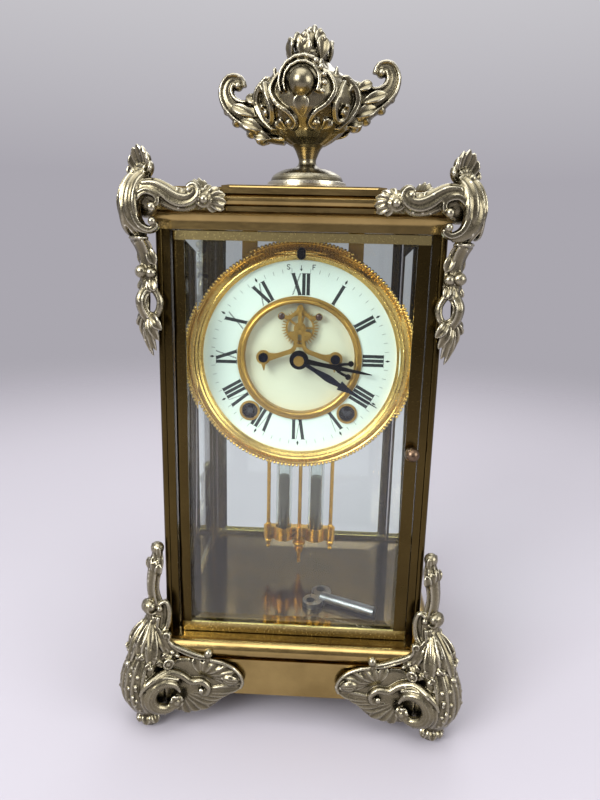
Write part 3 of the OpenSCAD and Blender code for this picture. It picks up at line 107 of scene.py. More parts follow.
@dataclass(frozen=True)
class Metal:
    """A metal surface: a tone with blotches, a grain from how it was worked, and painted highlights on raised
    edges and on door rails, and painted shade in hollows.
    """

    name: str
    tone: str
    # Darker tone of the blotches; with relief it is also the colour of the painted shade in hollows
    dark: str
    roughness: float
    spread: float
    blotch_mm: float
    blotch: float
    grain_mm: tuple[float, float, float]
    bump_mm: float
    # Colour of the painted highlights on raised edges and on rails
    bright: str = "#FFFFFF"
    # Whether raised edges get a painted highlight and hollows painted shade
    relief: bool = False
    # Lower and upper heights of the door rails, beyond which a painted highlight band lies
    rails_mm: tuple[float, float] | None = None

    # The part of the noise that blotches and grain are drawn from
    CLOUD_SPAN = (0.38, 0.68)
    GRAIN_SPAN = (0.3, 0.7)
    # Masks of the relief's painted light, a painted highlight on raised edges and painted shade in creases
    # and occluded hollows: where each starts, where it is full, and its greatest share
    EDGE_HIGHLIGHT = (0.505, 0.58, 0.85)
    HOLLOW = (0.5, 0.43, 0.9)
    OCCLUSION_SHADE = (0.75, 0.2, 0.8)
    # How far the ambient occlusion reaches; the hollows it finds are darkened as painted shade
    OCCLUSION_REACH_MM = 5.0
    # Soft edge of the painted highlight band on the door rails
    RAIL_EDGE_MM = 0.3

    def material(self) -> bpy.types.Material:
        """Builds the node material of this metal."""
        made, tree = new_material(self.name)
        place = add_node(tree, "TexCoord")
        cloud = add_node(tree, "TexNoise",
                         {"Scale": 1 / (self.blotch_mm * MM), "Detail": 5.0, "Roughness": 0.62},
                         {"Vector": (place, "Object")})
        low, high = self.CLOUD_SPAN
        share = add_node(tree, "MapRange", {"From Min": low, "From Max": high, "To Max": self.blotch},
                         {"Value": (cloud, "Fac")})
        colour = add_node(tree, "Mix",
                          {"data_type": "RGBA", 6: linear(self.tone), 7: linear(self.dark)},
                          {0: (share, "Result")})
        # Real grain is finer than a tenth of a millimetre, so grain_mm draws it coarse enough to show
        stretch = add_node(tree, "Mapping", {"Scale": tuple(1 / (g * MM) for g in self.grain_mm)},
                           {"Vector": (place, "Object")})
        grain = add_node(tree, "TexNoise", {"Scale": 1.0, "Detail": 3.0},
                         {"Vector": (stretch, "Vector")})
        low, high = self.GRAIN_SPAN
        matt = add_node(tree, "MapRange",
                        {"From Min": low, "From Max": high, "To Min": self.roughness - self.spread,
                         "To Max": self.roughness + self.spread}, {"Value": (grain, "Fac")})
        height = add_node(tree, "Bump", {"Strength": 0.6, "Distance": self.bump_mm * MM},
                          {"Height": (grain, "Fac")})
        for amount, output, tone in self.layers(tree, place):
            colour = add_node(tree, "Mix", {"data_type": "RGBA", 7: linear(tone)},
                              {0: (amount, output), 6: (colour, 2)})
        skin = add_node(tree, "BsdfPrincipled", {"Metallic": 1.0},
                        {"Base Color": (colour, 2), "Roughness": (matt, "Result"),
                         "Normal": (height, "Normal")})
        add_node(tree, "OutputMaterial", links={"Surface": (skin, "BSDF")})
        return made

    def layers(self, tree: bpy.types.NodeTree,
               place: bpy.types.Node) -> list[tuple[bpy.types.Node, str, str]]:
        """Makes the masks of the painted highlights and painted shade that lie over the tone.

        Args:
            tree: the material's node tree.
            place: its coordinates.

        Returns:
            For each layer, of painted highlight and painted shade, its mask node, the output to use and its
            colour.
        """
        found = []
        # Painted highlight: a paler band over the door rails, below the lower height and above the upper, for
        # the light their mouldings catch from above
        if self.rails_mm:
            low, high = (z * MM for z in self.rails_mm)
            edge = self.RAIL_EDGE_MM * MM
            split = add_node(tree, "SeparateXYZ", links={"Vector": (place, "Object")})
            under = add_node(tree, "MapRange", {"From Min": low + edge, "From Max": low},
                             {"Value": (split, "Z")})
            over = add_node(tree, "MapRange", {"From Min": high - edge, "From Max": high},
                            {"Value": (split, "Z")})
            rail = add_node(tree, "Math", {"operation": "MAXIMUM"},
                            {0: (under, "Result"), 1: (over, "Result")})
            found.append((rail, "Value", self.bright))
        # Painted light on the relief: pointiness gives raised edges a painted highlight and creases painted
        # shade, and ambient occlusion gives hollows painted shade
        if self.relief:
            shape = add_node(tree, "NewGeometry")
            occlusion = add_node(tree, "AmbientOcclusion",
                               {"samples": 4, "Distance": self.OCCLUSION_REACH_MM * MM})
            for source, output, span, tone in ((shape, "Pointiness", self.EDGE_HIGHLIGHT, self.bright),
                                               (shape, "Pointiness", self.HOLLOW, self.dark),
                                               (occlusion, "AO", self.OCCLUSION_SHADE, self.dark)):
                mask = add_node(tree, "MapRange",
                                {"From Min": span[0], "From Max": span[1], "To Max": span[2]},
                                {"Value": (source, output)})
                found.append((mask, "Result", tone))
        return found


@dataclass(frozen=True)
class Enamel:
    """A glassy opaque surface, fired or polished: an even tone with a faint cloud, under a wet gloss."""

    name: str
    tone: str
    shade: str

    CLOUD_MM = 26.0
    RIPPLE_MM = 3.0
    RIPPLE_HIGH_MM = 0.02

    def material(self) -> bpy.types.Material:
        """Builds the node material of this enamel."""
        made, tree = new_material(self.name)
        place = add_node(tree, "TexCoord")
        cloud = add_node(tree, "TexNoise", {"Scale": 1 / (self.CLOUD_MM * MM), "Detail": 3.0},
                         {"Vector": (place, "Object")})
        colour = add_node(tree, "Mix",
                          {"data_type": "RGBA", 6: linear(self.tone), 7: linear(self.shade)},
                          {0: (cloud, "Fac")})
        ripple = add_node(tree, "TexNoise", {"Scale": 1 / (self.RIPPLE_MM * MM), "Detail": 1.0},
                          {"Vector": (place, "Object")})
        wave = add_node(tree, "Bump", {"Strength": 0.15, "Distance": self.RIPPLE_HIGH_MM * MM},
                        {"Height": (ripple, "Fac")})
        skin = add_node(tree, "BsdfPrincipled",
                        {"Roughness": 0.22, "IOR": 1.5, "Coat Weight": 0.5, "Coat Roughness": 0.06},
                        {"Base Color": (colour, 2), "Normal": (wave, "Normal")})
        add_node(tree, "OutputMaterial", links={"Surface": (skin, "BSDF")})
        return made


@dataclass(frozen=True)
class PlateGlass:
    """Polished glass: clear with a faint green body, open to shadow and diffuse rays."""

    name: str
    tint: str
    ior: float = 1.5

    WAVE_MM = 45.0
    WAVE_HIGH_MM = 0.05

    def material(self) -> bpy.types.Material:
        """Builds the node material of this glass."""
        made, tree = new_material(self.name)
        place = add_node(tree, "TexCoord")
        draw = add_node(tree, "TexNoise", {"Scale": 1 / (self.WAVE_MM * MM), "Detail": 1.0},
                        {"Vector": (place, "Object")})
        wave = add_node(tree, "Bump", {"Strength": 0.05, "Distance": self.WAVE_HIGH_MM * MM},
                        {"Height": (draw, "Fac")})
        body = add_node(tree, "BsdfPrincipled",
                        {"Base Color": linear(self.tint), "IOR": self.ior, "Roughness": 0.0,
                         "Transmission Weight": 1.0}, {"Normal": (wave, "Normal")})
        clear = add_node(tree, "BsdfTransparent", {"Color": linear(self.tint)})
        path = add_node(tree, "LightPath")
        lit = add_node(tree, "Math", {"operation": "MAXIMUM"},
                       {0: (path, "Is Shadow Ray"), 1: (path, "Is Diffuse Ray")})
        mixed = add_node(tree, "MixShader",
                         links={0: (lit, "Value"), 1: (body, "BSDF"), 2: (clear, "BSDF")})
        add_node(tree, "OutputMaterial", links={"Surface": (mixed, "Shader")})
        return made


@dataclass(frozen=True)
class Ink:
    """Vitreous painting fired onto the dial: a dull dark line that is a little uneven."""

    name: str
    tone: str
    faded: str

    WORN_MM = 1.2

    def material(self) -> bpy.types.Material:
        """Builds the node material of this paint."""
        made, tree = new_material(self.name)
        place = add_node(tree, "TexCoord")
        worn = add_node(tree, "TexNoise", {"Scale": 1 / (self.WORN_MM * MM), "Detail": 4.0},
                        {"Vector": (place, "Object")})
        share = add_node(tree, "MapRange", {"From Min": 0.5, "From Max": 0.8, "To Max": 0.6},
                         {"Value": (worn, "Fac")})
        colour = add_node(tree, "Mix",
                          {"data_type": "RGBA", 6: linear(self.tone), 7: linear(self.faded)},
                          {0: (share, "Result")})
        skin = add_node(tree, "BsdfPrincipled", {"Roughness": 0.42}, {"Base Color": (colour, 2)})
        add_node(tree, "OutputMaterial", links={"Surface": (skin, "BSDF")})
        return made


class Finish(Enum):
    """The finishes of this clock."""

    # White-metal castings, brushed with pale gilt: a champagne tone, with a painted silvery highlight on
    # raised edges and painted olive-brown shade in hollows
    GILT_CASTING = Metal("gilt_white_metal_cast", "#7F7760", "#19150D",
                         0.29, 0.07, 9.0, 0.3, (0.7, 0.7, 0.7), 0.015, "#E2DCC6", True)
    # Drawn brass that has toned with age: olive brown, nearly even, with faint drifts along its length
    TONED_BRASS = Metal("toned_brass_drawn", "#524425", "#2E240F",
                        0.24, 0.04, 40.0, 0.4, (0.8, 0.8, 0.8), 0.002)
    # Milled brass of the doors: the stiles have toned, and a painted highlight makes the rails a paler satin
    # gold
    DOOR_BRASS = Metal("toned_brass_milled", "#524425", "#2E240F",
                       0.24, 0.04, 40.0, 0.4, (0.8, 0.8, 0.8), 0.002, "#C0AE74", rails_mm=(58.2, 264.7))
    # Spun brass mouldings under old lacquer: satin brown gold with a few darker stains
    BUFFED_BRASS = Metal("moulded_brass_lacquered", "#A8905C", "#634E28",
                         0.22, 0.05, 26.0, 0.4, (5.0, 5.0, 0.8), 0.003)
    # Lacquered turned brass of the bezel: bright warm satin gold
    TURNED_GOLD = Metal("turned_brass_lacquered", "#E3C070", "#AC863C",
                        0.27, 0.05, 16.0, 0.3, (0.35, 0.35, 0.35), 0.004)
    # Grained clock brass of plates and wheels: even straw gold
    CLOCK_BRASS = Metal("grained_clock_brass", "#BB944C", "#6F5228",
                        0.36, 0.08, 12.0, 0.35, (0.25, 6.0, 0.25), 0.006)
    # Polished pendulum brass under old lacquer: deep yellow gold, softly mirrored
    POLISHED_BRASS = Metal("polished_brass", "#CFA042", "#8A6222",
                           0.26, 0.05, 20.0, 0.3, (0.4, 0.4, 0.4), 0.003)
    # Rolled brass of the floor plate, gone dull: dim brown gold that still mirrors the pendulum
    DULL_BRASS = Metal("floor_brass_dulled", "#624E2A", "#40321A",
                       0.13, 0.05, 18.0, 0.7, (0.9, 0.9, 0.9), 0.006)
    # Browned bronze of the door knobs: warm grey brown with a soft shine
    BROWN_BRONZE = Metal("browned_bronze", "#756250", "#3A2415",
                         0.32, 0.08, 3.0, 0.6, (0.5, 0.5, 0.5), 0.01)
    # Ground steel of the hinge pins and the key: mid grey with fine lines along Y
    GROUND_STEEL = Metal("ground_steel", "#727275", "#3E3C3A",
                         0.34, 0.08, 6.0, 0.5, (0.3, 5.0, 0.3), 0.005)
    # Hardened steel of the winding squares, darkened as painted shade for the deep winding holes they sit in
    SHADED_STEEL = Metal("hardened_steel_painted_shade", "#55565A", "#1E1E20",
                        0.28, 0.06, 4.0, 0.5, (0.3, 0.3, 0.3), 0.003)
    # Steel blued by heat: near black with a deep blue lift
    BLUED_STEEL = Metal("heat_blued_steel", "#1C2438", "#0B0E17",
                        0.2, 0.06, 5.0, 0.5, (0.3, 0.3, 0.3), 0.003)
    # Steel blackened in oil: black with a narrow grey shine
    BLACK_STEEL = Metal("oil_black_steel", "#101114", "#050506",
                        0.26, 0.06, 4.0, 0.5, (0.3, 0.3, 0.3), 0.003)
    # Mercury seen through glass: a dull grey-brown mirror
    QUICKSILVER = Metal("mercury_in_glass", "#6E6350", "#453B2C",
                        0.2, 0.05, 8.0, 0.5, (1.5, 1.5, 5.0), 0.002)
    # White enamel fired on copper: cool milk white under a wet gloss
    WHITE_ENAMEL = Enamel("white_enamel_fired", "#EAF1EA", "#DDE8E0")
    # Enamel of the recessed centre: the same gloss on a warmer cream
    CREAM_ENAMEL = Enamel("cream_enamel_fired", "#E2DFCA", "#D5D3BC")
    # Plate glass, ground and polished, with bevelled edges: clear, and the bevels bend what lies behind
    PANE = PlateGlass("bevelled_plate_glass", "#F4FAF7")
    # Drawn borosilicate tube of the vials: clear, with bright lines along its walls
    VIAL = PlateGlass("drawn_tube_glass", "#EEF4F0", 1.47)
    # Vitreous black of the figures: dull, with a slightly starved stroke
    BLACK_PAINT = Ink("fired_black_paint", "#14181A", "#4A5252")
    # Thin vitreous grey of the minute strokes: pale and uneven
    GREY_PAINT = Ink("fired_grey_paint", "#6F7A78", "#A9B4B0")
    # Polished dark agate of the pallets: deep red-brown with a glassy gloss
    AGATE = Enamel("polished_agate", "#2E1710", "#4A2A1C")


@cache
def finish_of(choice: Finish) -> bpy.types.Material:
    """Gives the material of a finish, made once."""
    return choice.value.material()


def smooth_line(points: Rows, steps: int) -> np.ndarray:
    """Draws a smooth line through points (Catmull-Rom).

    Args:
        points: control points of any number of values.
        steps: parts between two control points.

    Returns:
        The points of the line, one per row.
    """
    ctrl = np.asarray(list(points), float)
    last = len(ctrl) - 1
    rows = []
    for i in range(last):
        a, b, c, d = ctrl[max(i - 1, 0)], ctrl[i], ctrl[i + 1], ctrl[min(i + 2, last)]
        for k in range(steps):
            t = k / steps
            rows.append(0.5 * (2 * b + (c - a) * t + (2 * a - 5 * b + 4 * c - d) * t ** 2
                               + (3 * b - a - 3 * c + d) * t ** 3))
    rows.append(ctrl[last])
    return np.array(rows)


def unit(way: Point) -> np.ndarray:
    """Gives a direction with a length of 1."""
    return np.asarray(way, float) / np.linalg.norm(way)


def spin(degrees: float) -> tuple[float, float]:
    """Gives the cosine and sine of an angle in degrees."""
    return math.cos(math.radians(degrees)), math.sin(math.radians(degrees))


def circle(count: int) -> list[tuple[float, float]]:
    """Gives the cosine and sine of equal turns round a circle."""
    turns = [2 * math.pi * k / count for k in range(count)]
    return [(math.cos(turn), math.sin(turn)) for turn in turns]


def ring_faces(sides: int, rings: int) -> list[tuple[int, ...]]:
    """Joins rings of points, one after another, into a closed skin.

    Args:
        sides: points in each ring.
        rings: number of rings.

    Returns:
        Faces between the rings and across both ends, as numbers of the points.
    """
    last = (rings - 1) * sides
    faces: list[tuple[int, ...]] = []
    for low in range(0, last, sides):
        for j in range(sides):
            k = (j + 1) % sides
            faces.append((low + j, low + k, low + sides + k, low + sides + j))
    return [*faces, tuple(range(sides - 1, -1, -1)), tuple(range(last, last + sides))]


class Section(Enum):
    """How the section of a cast scroll is worked."""

    ROUND = "round"
    FLUTED = "fluted"
    RIDGED = "ridged"
    CUPPED = "cupped"

    def outline(self) -> np.ndarray:
        """Gives the unit section: one row per point, outwards and sideways."""
        angle = np.linspace(0, 2 * math.pi, 12 if self is Section.ROUND else 40, endpoint=False)
        out, side = np.cos(angle), np.sin(angle)
        if self is Section.FLUTED:
            flute = 1 + 0.13 * np.cos(6 * angle)
            out, side = out * flute, side * flute
        elif self is Section.RIDGED:
            out = np.where(out > 0, out * (1 + 0.24 * np.cos(4 * math.pi * side)), out)
        elif self is Section.CUPPED:
            out = np.where(out > 0, out * (0.1 + 1.1 * np.abs(side) ** 1.5), out)
        return np.stack([out, side], 1)


class Casting:
    """Closed shapes in millimetres, gathered and then made into one mesh."""

    BEAD_GRID = (9, 14)
    BALL_GRID = (18, 32)
    BALL_FROM = 4.0
    BUBBLE_POINTS = 400
    SOFT_ROUNDS = 2

    def __init__(self) -> None:
        """Starts with nothing in the mould."""
        self.points: list[np.ndarray] = []
        self.faces: list[tuple[int, ...]] = []
        self.count = 0

    def add(self, points: np.ndarray, faces: Iterable[Sequence[int]]) -> None:
        """Adds one closed shape.

        Args:
            points: its points, one per row.
            faces: its faces, as numbers of those points.
        """
        self.points.append(points)
        self.faces.extend(tuple(i + self.count for i in face) for face in faces)
        self.count += len(points)

    def sweep(self, line: Rows, across: Point, section: Section = Section.ROUND, steps: int = 4) -> None:
        """Adds a scroll that follows a line and swells along it.

        Args:
            line: control points as x, y, z, half depth and half width.
            across: the direction in which the width lies.
            section: how the section is worked.
            steps: parts between two control points.
        """
        run = smooth_line(line, steps)
        wide = unit(across)
        shape = section.outline()
        course = np.gradient(run[:, :3], axis=0)
        course /= np.linalg.norm(course, axis=1, keepdims=True) + TINY
        rings = []
        for at, way in zip(run, course):
            out = np.cross(way, wide)
            out /= np.linalg.norm(out) + TINY
            rings.append(at[:3] + np.outer(shape[:, 0] * at[3], out) + np.outer(shape[:, 1] * at[4], wide))
        self.add(np.concatenate(rings), ring_faces(len(shape), len(run)))

    def ball(self, at: Point, radius: float, squash: Point = (1, 1, 1)) -> None:
        """Adds a bead.

        Args:
            at: its centre.
            radius: its radius.
            squash: scale along each axis.
        """
        rows, around = self.BEAD_GRID if radius < self.BALL_FROM else self.BALL_GRID
        points = [(0.0, 0.0, 1.0)]
        for i in range(1, rows):
            tilt = math.pi * i / rows
            wide, high = math.sin(tilt), math.cos(tilt)
            points.extend((wide * c, wide * s, high) for c, s in circle(around))
        points.append((0.0, 0.0, -1.0))
        last = len(points) - 1
        faces: list[tuple[int, ...]] = []
        for j in range(around):
            k = (j + 1) % around
            faces.append((0, 1 + j, 1 + k))
            faces.append((last, last - around + k, last - around + j))
            for i in range(rows - 2):
                a = 1 + i * around
                faces.append((a + j, a + around + j, a + around + k, a + k))
        self.add(np.array(points) * radius * np.asarray(squash) + np.asarray(at, float), faces)

    def leaf(self, root: Point, tip: Point, width: float, thick: float, out: Point, arch: float,
             section: Section = Section.CUPPED, full: float = 0.6) -> None:
        """Adds a leaf lobe that swells from its root and rounds off at its tip.

        Args:
            root: where it starts.
            tip: where it ends.
            width: its half width at the fullest place.
            thick: its half thickness.
            out: the direction that its face looks in.
            arch: how far its middle stands out.
            section: how its face is worked.
            full: how far along it is fullest.
        """
        a, b = np.asarray(root, float), np.asarray(tip, float)
        face = unit(out)
        across = np.cross(face, b - a)
        across /= np.linalg.norm(across) + TINY
        line = []
        for s in np.linspace(0, 1, 9):
            swell = math.sin(math.pi * s ** (math.log(0.5) / math.log(full))) ** 0.6 if 0 < s < 1 else 0.0
            spot = a + (b - a) * s + face * arch * math.sin(math.pi * s)
            line.append((*spot, thick * (0.25 + 0.75 * swell), max(width * swell, 0.12 * width)))
        self.sweep(line, across * (1 if np.dot(np.cross(b - a, across), face) > 0 else -1), section, 2)

    def curl(self, centre: Point, radius: float, turns: float, start: float, tube: float, deep: float,
             right: Point, up: Point, grow: float = 0.35, eye: bool = True) -> None:
        """Adds a volute that winds in to an eye.

        Args:
            centre: the eye.
            radius: the outer radius.
            turns: turns, negative for the other way.
            start: angle where it starts, in degrees.
            tube: half thickness at the outside.
            deep: half width out of the plane.
            right: the direction of angle 0.
            up: the direction of angle 90.
            grow: share of the radius left at the eye.
            eye: whether a bead fills the eye.
        """
        e, f, at = (np.asarray(v, float) for v in (right, up, centre))
        count = max(6, int(abs(turns) * 14))
        line = []
        for i in range(count + 1):
            along = i / count
            c, s = spin(start + 360 * turns * along)
            r = radius * (1 - along * (1 - grow))
            line.append((*(at + e * r * c + f * r * s), tube * (1 - 0.45 * along), deep))
        self.sweep(line, np.cross(e, f), steps=1)
        if eye:
            self.ball(at, radius * grow + 0.6 * tube)

    def plain(self, name: str, smooth: bool) -> bpy.types.Mesh:
        """Makes the shapes into one mesh as they are.

        Args:
            name: name of the mesh.
            smooth: whether its faces are shaded smooth.

        Returns:
            The mesh, in metres.
        """
        made = bpy.data.meshes.new(name)
        made.from_pydata((np.concatenate(self.points) * MM).tolist(), [], self.faces)
        made.polygons.foreach_set("use_smooth", [smooth] * len(made.polygons))
        return made

    def fused(self, name: str, voxel_mm: float) -> bpy.types.Mesh:
        """Fuses the shapes into one skin and softens the joins as a casting's are.

        Args:
            name: name of the mesh.
            voxel_mm: size of the fused skin's faces.

        Returns:
            The fused mesh, in metres.
        """
        raw = self.plain(name + "_mould", False)
        temp = bpy.data.objects.new(name + "_mould", raw)
        bpy.context.scene.collection.objects.link(temp)
        fuse = temp.modifiers.new("fuse", "REMESH")
        fuse.mode = "VOXEL"
        fuse.voxel_size = voxel_mm * MM
        soften = temp.modifiers.new("soften", "SMOOTH")
        soften.factor = 0.5
        soften.iterations = self.SOFT_ROUNDS
        made = bpy.data.meshes.new_from_object(temp.evaluated_get(bpy.context.evaluated_depsgraph_get()))
        made.name = name
        bpy.data.objects.remove(temp)
        bpy.data.meshes.remove(raw)
        self.drop_bubbles(made)
        made.polygons.foreach_set("use_smooth", [True] * len(made.polygons))
        LOG.info("cast %s: %d faces", name, len(made.polygons))
        return made

    def drop_bubbles(self, made: bpy.types.Mesh) -> None:
        """Deletes the tiny closed bubbles that fusing leaves inside the metal.

        Args:
            made: the fused mesh.
        """
        work = bmesh.new()
        work.from_mesh(made)
        bubbles: list[bmesh.types.BMVert] = []
        for first in work.verts:
            if first.tag:
                continue
            first.tag = True
            island = [first]
            for vert in island:
                for edge in vert.link_edges:
                    near = edge.other_vert(vert)
                    if not near.tag:
                        near.tag = True
                        island.append(near)
            if len(island) < self.BUBBLE_POINTS:
                bubbles.extend(island)
        bmesh.ops.delete(work, geom=bubbles, context="VERTS")
        work.to_mesh(made)
        work.free()


def place_piece(name: str, mesh: bpy.types.Mesh, choice: Finish, body: str,
                stands_for: Sequence[str] = ()) -> None:
    """Puts a new piece into the scene and onto its body.

    Args:
        name: the piece's name.
        mesh: its mesh, in metres.
        choice: its finish.
        body: the body that carries it.
        stands_for: nodes that it stands for.
    """
    piece = bpy.data.objects.new(name, mesh)
    bpy.context.scene.collection.objects.link(piece)
    mesh.materials.append(finish_of(choice))
    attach(piece, body)
    if stands_for:
        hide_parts(*stands_for)
    LOG.info("piece %s rides on %s", name, body)


ROOT_HALF = math.sqrt(0.5)
DIAGONAL = (0.0, 1.0, 0.0)


def on_face(a: float, out: float, z: float, side: int) -> np.ndarray:
    """Carries a place on a case face into the frame of its corner.

    Args:
        a: along the face, from the corner towards the middle.
        out: out of the post's face.
        z: height.
        side: 1 or -1, for the two faces beside the corner.

    Returns:
        The place, with X out along the corner's diagonal.
    """
    return np.array([ROOT_HALF * (out - a), side * ROOT_HALF * (out + a), z])


def face_normal(side: int) -> np.ndarray:
    """Gives the outward direction of the face on one side of a corner."""
    return np.array([ROOT_HALF, side * ROOT_HALF, 0.0])


def face_line(rows: Rows, out: float, side: int) -> list[tuple[float, ...]]:
    """Carries a scroll drawn on a face into the frame of its corner.

    Args:
        rows: control points as along, z, half height and half thickness.
        out: how far out of the post's face it lies.
        side: 1 or -1, for the two faces beside the corner.

    Returns:
        Control points for a sweep.
    """
    return [(*on_face(a, out, z, side), half, thick) for a, z, half, thick in rows]


def diagonal_line(rows: Rows) -> list[tuple[float, ...]]:
    """Turns out, z, half depth and half width on the diagonal into control points for a sweep."""
    return [(out, 0.0, z, deep, wide) for out, z, deep, wide in rows]


@dataclass
class Corners:
    """The four corners of the case, where the castings sit."""

    case_w: float = 140.0
    case_d: float = 128.0

    def each(self, cast: bpy.types.Mesh) -> list[tuple[str, bpy.types.Mesh]]:
        """Turns a casting to each corner.

        Args:
            cast: the casting, in a corner's frame.

        Returns:
            Each corner's name, and a copy of the casting that is set there.
        """
        found = []
        for front, sy in (("front", -1), ("rear", 1)):
            for left, sx in (("left", -1), ("right", 1)):
                turn = Matrix.Rotation(math.atan2(sy, sx), 4, "Z")
                move = Matrix.Translation((sx * self.case_w / 2 * MM, sy * self.case_d / 2 * MM, 0))
                made = cast.copy()
                made.transform(move @ turn)
                found.append((f"{front}_{left}", made))
        return found


@dataclass
class CornerFeet:
    """Cast scroll feet: a swelling body on the diagonal, a horned eye and a shell wing on each face."""

    corners: Corners
    voxel_mm: float = 0.42
    fascia_out: float = 9.0
    lean: float = 0.42
    lean_from: float = 8.0
    neck_z: float = 65.0
    toe_out: float = 12.0
    horn_r: float = 7.9
    horn_edge_r: float = 11.2

    # Scrolls on the diagonal: out, height, half depth and half width
    BODY = ((11.5, 5.6, 3, 4), (12.8, 10, 6, 7), (15.6, 17, 8.6, 9.8), (16.8, 26, 10, 11.2),
            (16, 35, 9.8, 11), (13.2, 44, 8.2, 9.6), (9.6, 53, 6.2, 7.6), (6, 62, 4.6, 6),
            (5, 70, 3.4, 4.8))
    STEM = ((4.6, 68, 3.4, 4.8), (6.6, 75, 3.2, 4.4), (7.5, 83, 2.9, 4), (6.6, 90, 3, 4.2),
            (4.8, 96, 3.1, 4.4), (3.8, 102, 2.2, 3))
    # Ribs, leaves and studs on the body: sideways as a share of its half width, and a leaf's lowest height
    RIBS = (-0.86, -0.5, -0.16, 0.16, 0.5, 0.86)
    BODY_LEAVES = ((-0.46, 46), (0.46, 46), (0.0, 41.5))
    BODY_STUDS = (-0.68, -0.33, 0.33, 0.68)
    # Scrolls and tips on a face: along from the corner, height, then half height and half thickness
    WING = ((2, 26, 13, 2), (10, 26.4, 16.4, 2), (16, 26, 17, 2), (22, 27.3, 15.6, 1.9),
            (28, 29, 12.6, 1.8), (36, 31, 8.6, 1.6), (41, 30.6, 5.6, 1.4), (44, 29.4, 2.4, 1.2))
    LOW_TIPS = ((8.6, 9.8), (14.6, 8.6), (20.4, 10.4), (25.8, 12.4), (29, 16.8), (33.4, 20), (38.6, 23.4),
                (43.4, 26.4))
    HIGH_TIPS = ((44.6, 30.4), (42.8, 35), (38.4, 39.2), (32, 42), (26, 43.4), (18.6, 44.8))
    RIM = ((27, 43.2), (33, 42), (38.8, 39.2), (42.8, 35), (44.4, 30.4), (43, 26.8))
    WAVE = ((-9.4, 27, 0.9, 1.2), (-7.4, 31.4, 1.5, 2), (-3, 35, 2, 2.6), (3, 36.4, 2.2, 2.6),
            (10, 34.4, 2.3, 2.6), (16, 30.6, 2.1, 2.6), (22, 30.8, 2.0, 2.5), (25.6, 27.4, 1.8, 2.4),
            (24.4, 23.6, 1.6, 2.2), (21.2, 23.6, 1.3, 2))
    FACE_LOBES = ((6.6, 47), (9.2, 44.6), (7.2, 41.6))
    FACE_STUDS = ((-6.6, 37.4), (-11.6, 32), (-13.2, 26), (-12.6, 20), (-10.4, 14.6))
    RAIL = ((24, 44.8, 1.2, 1.6), (19.5, 45.8, 1.5, 1.8), (15, 47.4, 1.6, 1.9), (10.6, 49.2, 1.4, 1.8),
            (6.4, 51.4, 1, 1.6), (4.2, 54.4, 0.8, 1.5))
    # How far the wave stands off the face at each of its places
    WAVE_LIFT = (0.4, 0.8, 2.2, 3.6, 4, 4, 4, 4, 4, 4)
    # The horn round the eye: turn in degrees and half thickness
    HORN = ((15, 1.2), (50, 2.2), (90, 2.8), (130, 3.2), (180, 3.4), (225, 3.3), (270, 2.9), (305, 2.3),
            (335, 1.6))
    # The hollow in the eye: along and up from its middle, half height and half thickness
    HOLLOW = ((-8.6, 0, 2.4, 1.2), (-6, 0, 6.4, 1.2), (0, 0, 8.6, 1.2), (6, 0, 6.4, 1.2),
              (8.6, 0, 2.4, 1.2))
    # Leaves of the neck: along, height and half width; their lobes: share of the length and which way
    NECK_LEAVES = ((-8.4, 47, 2.8), (-4.2, 41.4, 3.6), (0.8, 39.8, 3.4), (4.6, 44.4, 2.6))
    LEAF_LOBES = ((0.45, 1), (0.6, -1), (0.75, 1), (0.85, -1))
    # Scrolls of the neck: along, out, height and half height
    NECK_SCROLL = ((-1.6, 7.4, 70.4, 0.9), (-0.8, 7.2, 73.4, 1.0), (1.8, 6.6, 74.2, 1.2),
                   (3.4, 6.4, 70.6, 1.4), (3.6, 7, 65.4, 1.5), (2.4, 8.6, 60, 1.6), (-1.4, 11.2, 55.4, 1.5),
                   (-6, 14.4, 49.6, 1.1))
    NECK_WEB = ((0.8, 5, 72.6, 2.2), (0.9, 5.2, 68, 2.8), (0.6, 6.6, 62, 3), (-0.8, 8.6, 57, 2.8))

    def skin(self, z: float, share: float, lift: float = 0.0) -> np.ndarray:
        """Finds a place on the outside of the diagonal body.

        Args:
            z: height.
            share: sideways place as a share of the half width.
            lift: height above the skin.

        Returns:
            The place, in the corner's frame.
        """
        out, deep, wide = self.girth(z)
        bulge = math.sqrt(max(0.0, 1 - share * share))
        return np.array([out + (deep + lift) * bulge, share * (wide + lift), z])

    def girth(self, z: float) -> tuple[float, ...]:
        """Gives the body's middle, half depth and half width at a height."""
        body = np.array(self.BODY)
        return tuple(float(np.interp(z, body[:, 1], body[:, k])) for k in (0, 2, 3))

    def spot(self, a: float, z: float, lift: float, side: int) -> np.ndarray:
        """Finds a place on the face of the foot, which leans from the wing towards the body.

        Args:
            a: along the face, from the post's corner towards the middle.
            z: height.
            lift: height above the plinth's fascia or the body.
            side: 1 or -1, for the two faces beside the corner.

        Returns:
            The place, in the corner's frame.
        """
        out = self.fascia_out + self.lean * max(0.0, self.lean_from - a)
        middle, deep, wide = self.girth(z)
        round_r, away = (deep + wide) / 2, a + middle * ROOT_HALF
        body = middle * ROOT_HALF + math.sqrt(max(0.0, round_r ** 2 - away ** 2))
        out = body if away < 0 else max(out, body if away < round_r else 0.0)
        return on_face(a, out + lift, z, side)

    def line(self, rows: Rows, lift: float, side: int) -> list[tuple[float, ...]]:
        """Lays along, z, half height and half thickness on the foot's face, ready for a sweep."""
        return [(*self.spot(a, z, lift, side), half, thick) for a, z, half, thick in rows]

    def ways(self, side: int) -> tuple[np.ndarray, np.ndarray]:
        """Gives the directions along and out of the leaning face on one side."""
        flat, along = face_normal(side), on_face(1, 0, 0, side)
        return unit(along - self.lean * flat), unit(flat + self.lean * along)

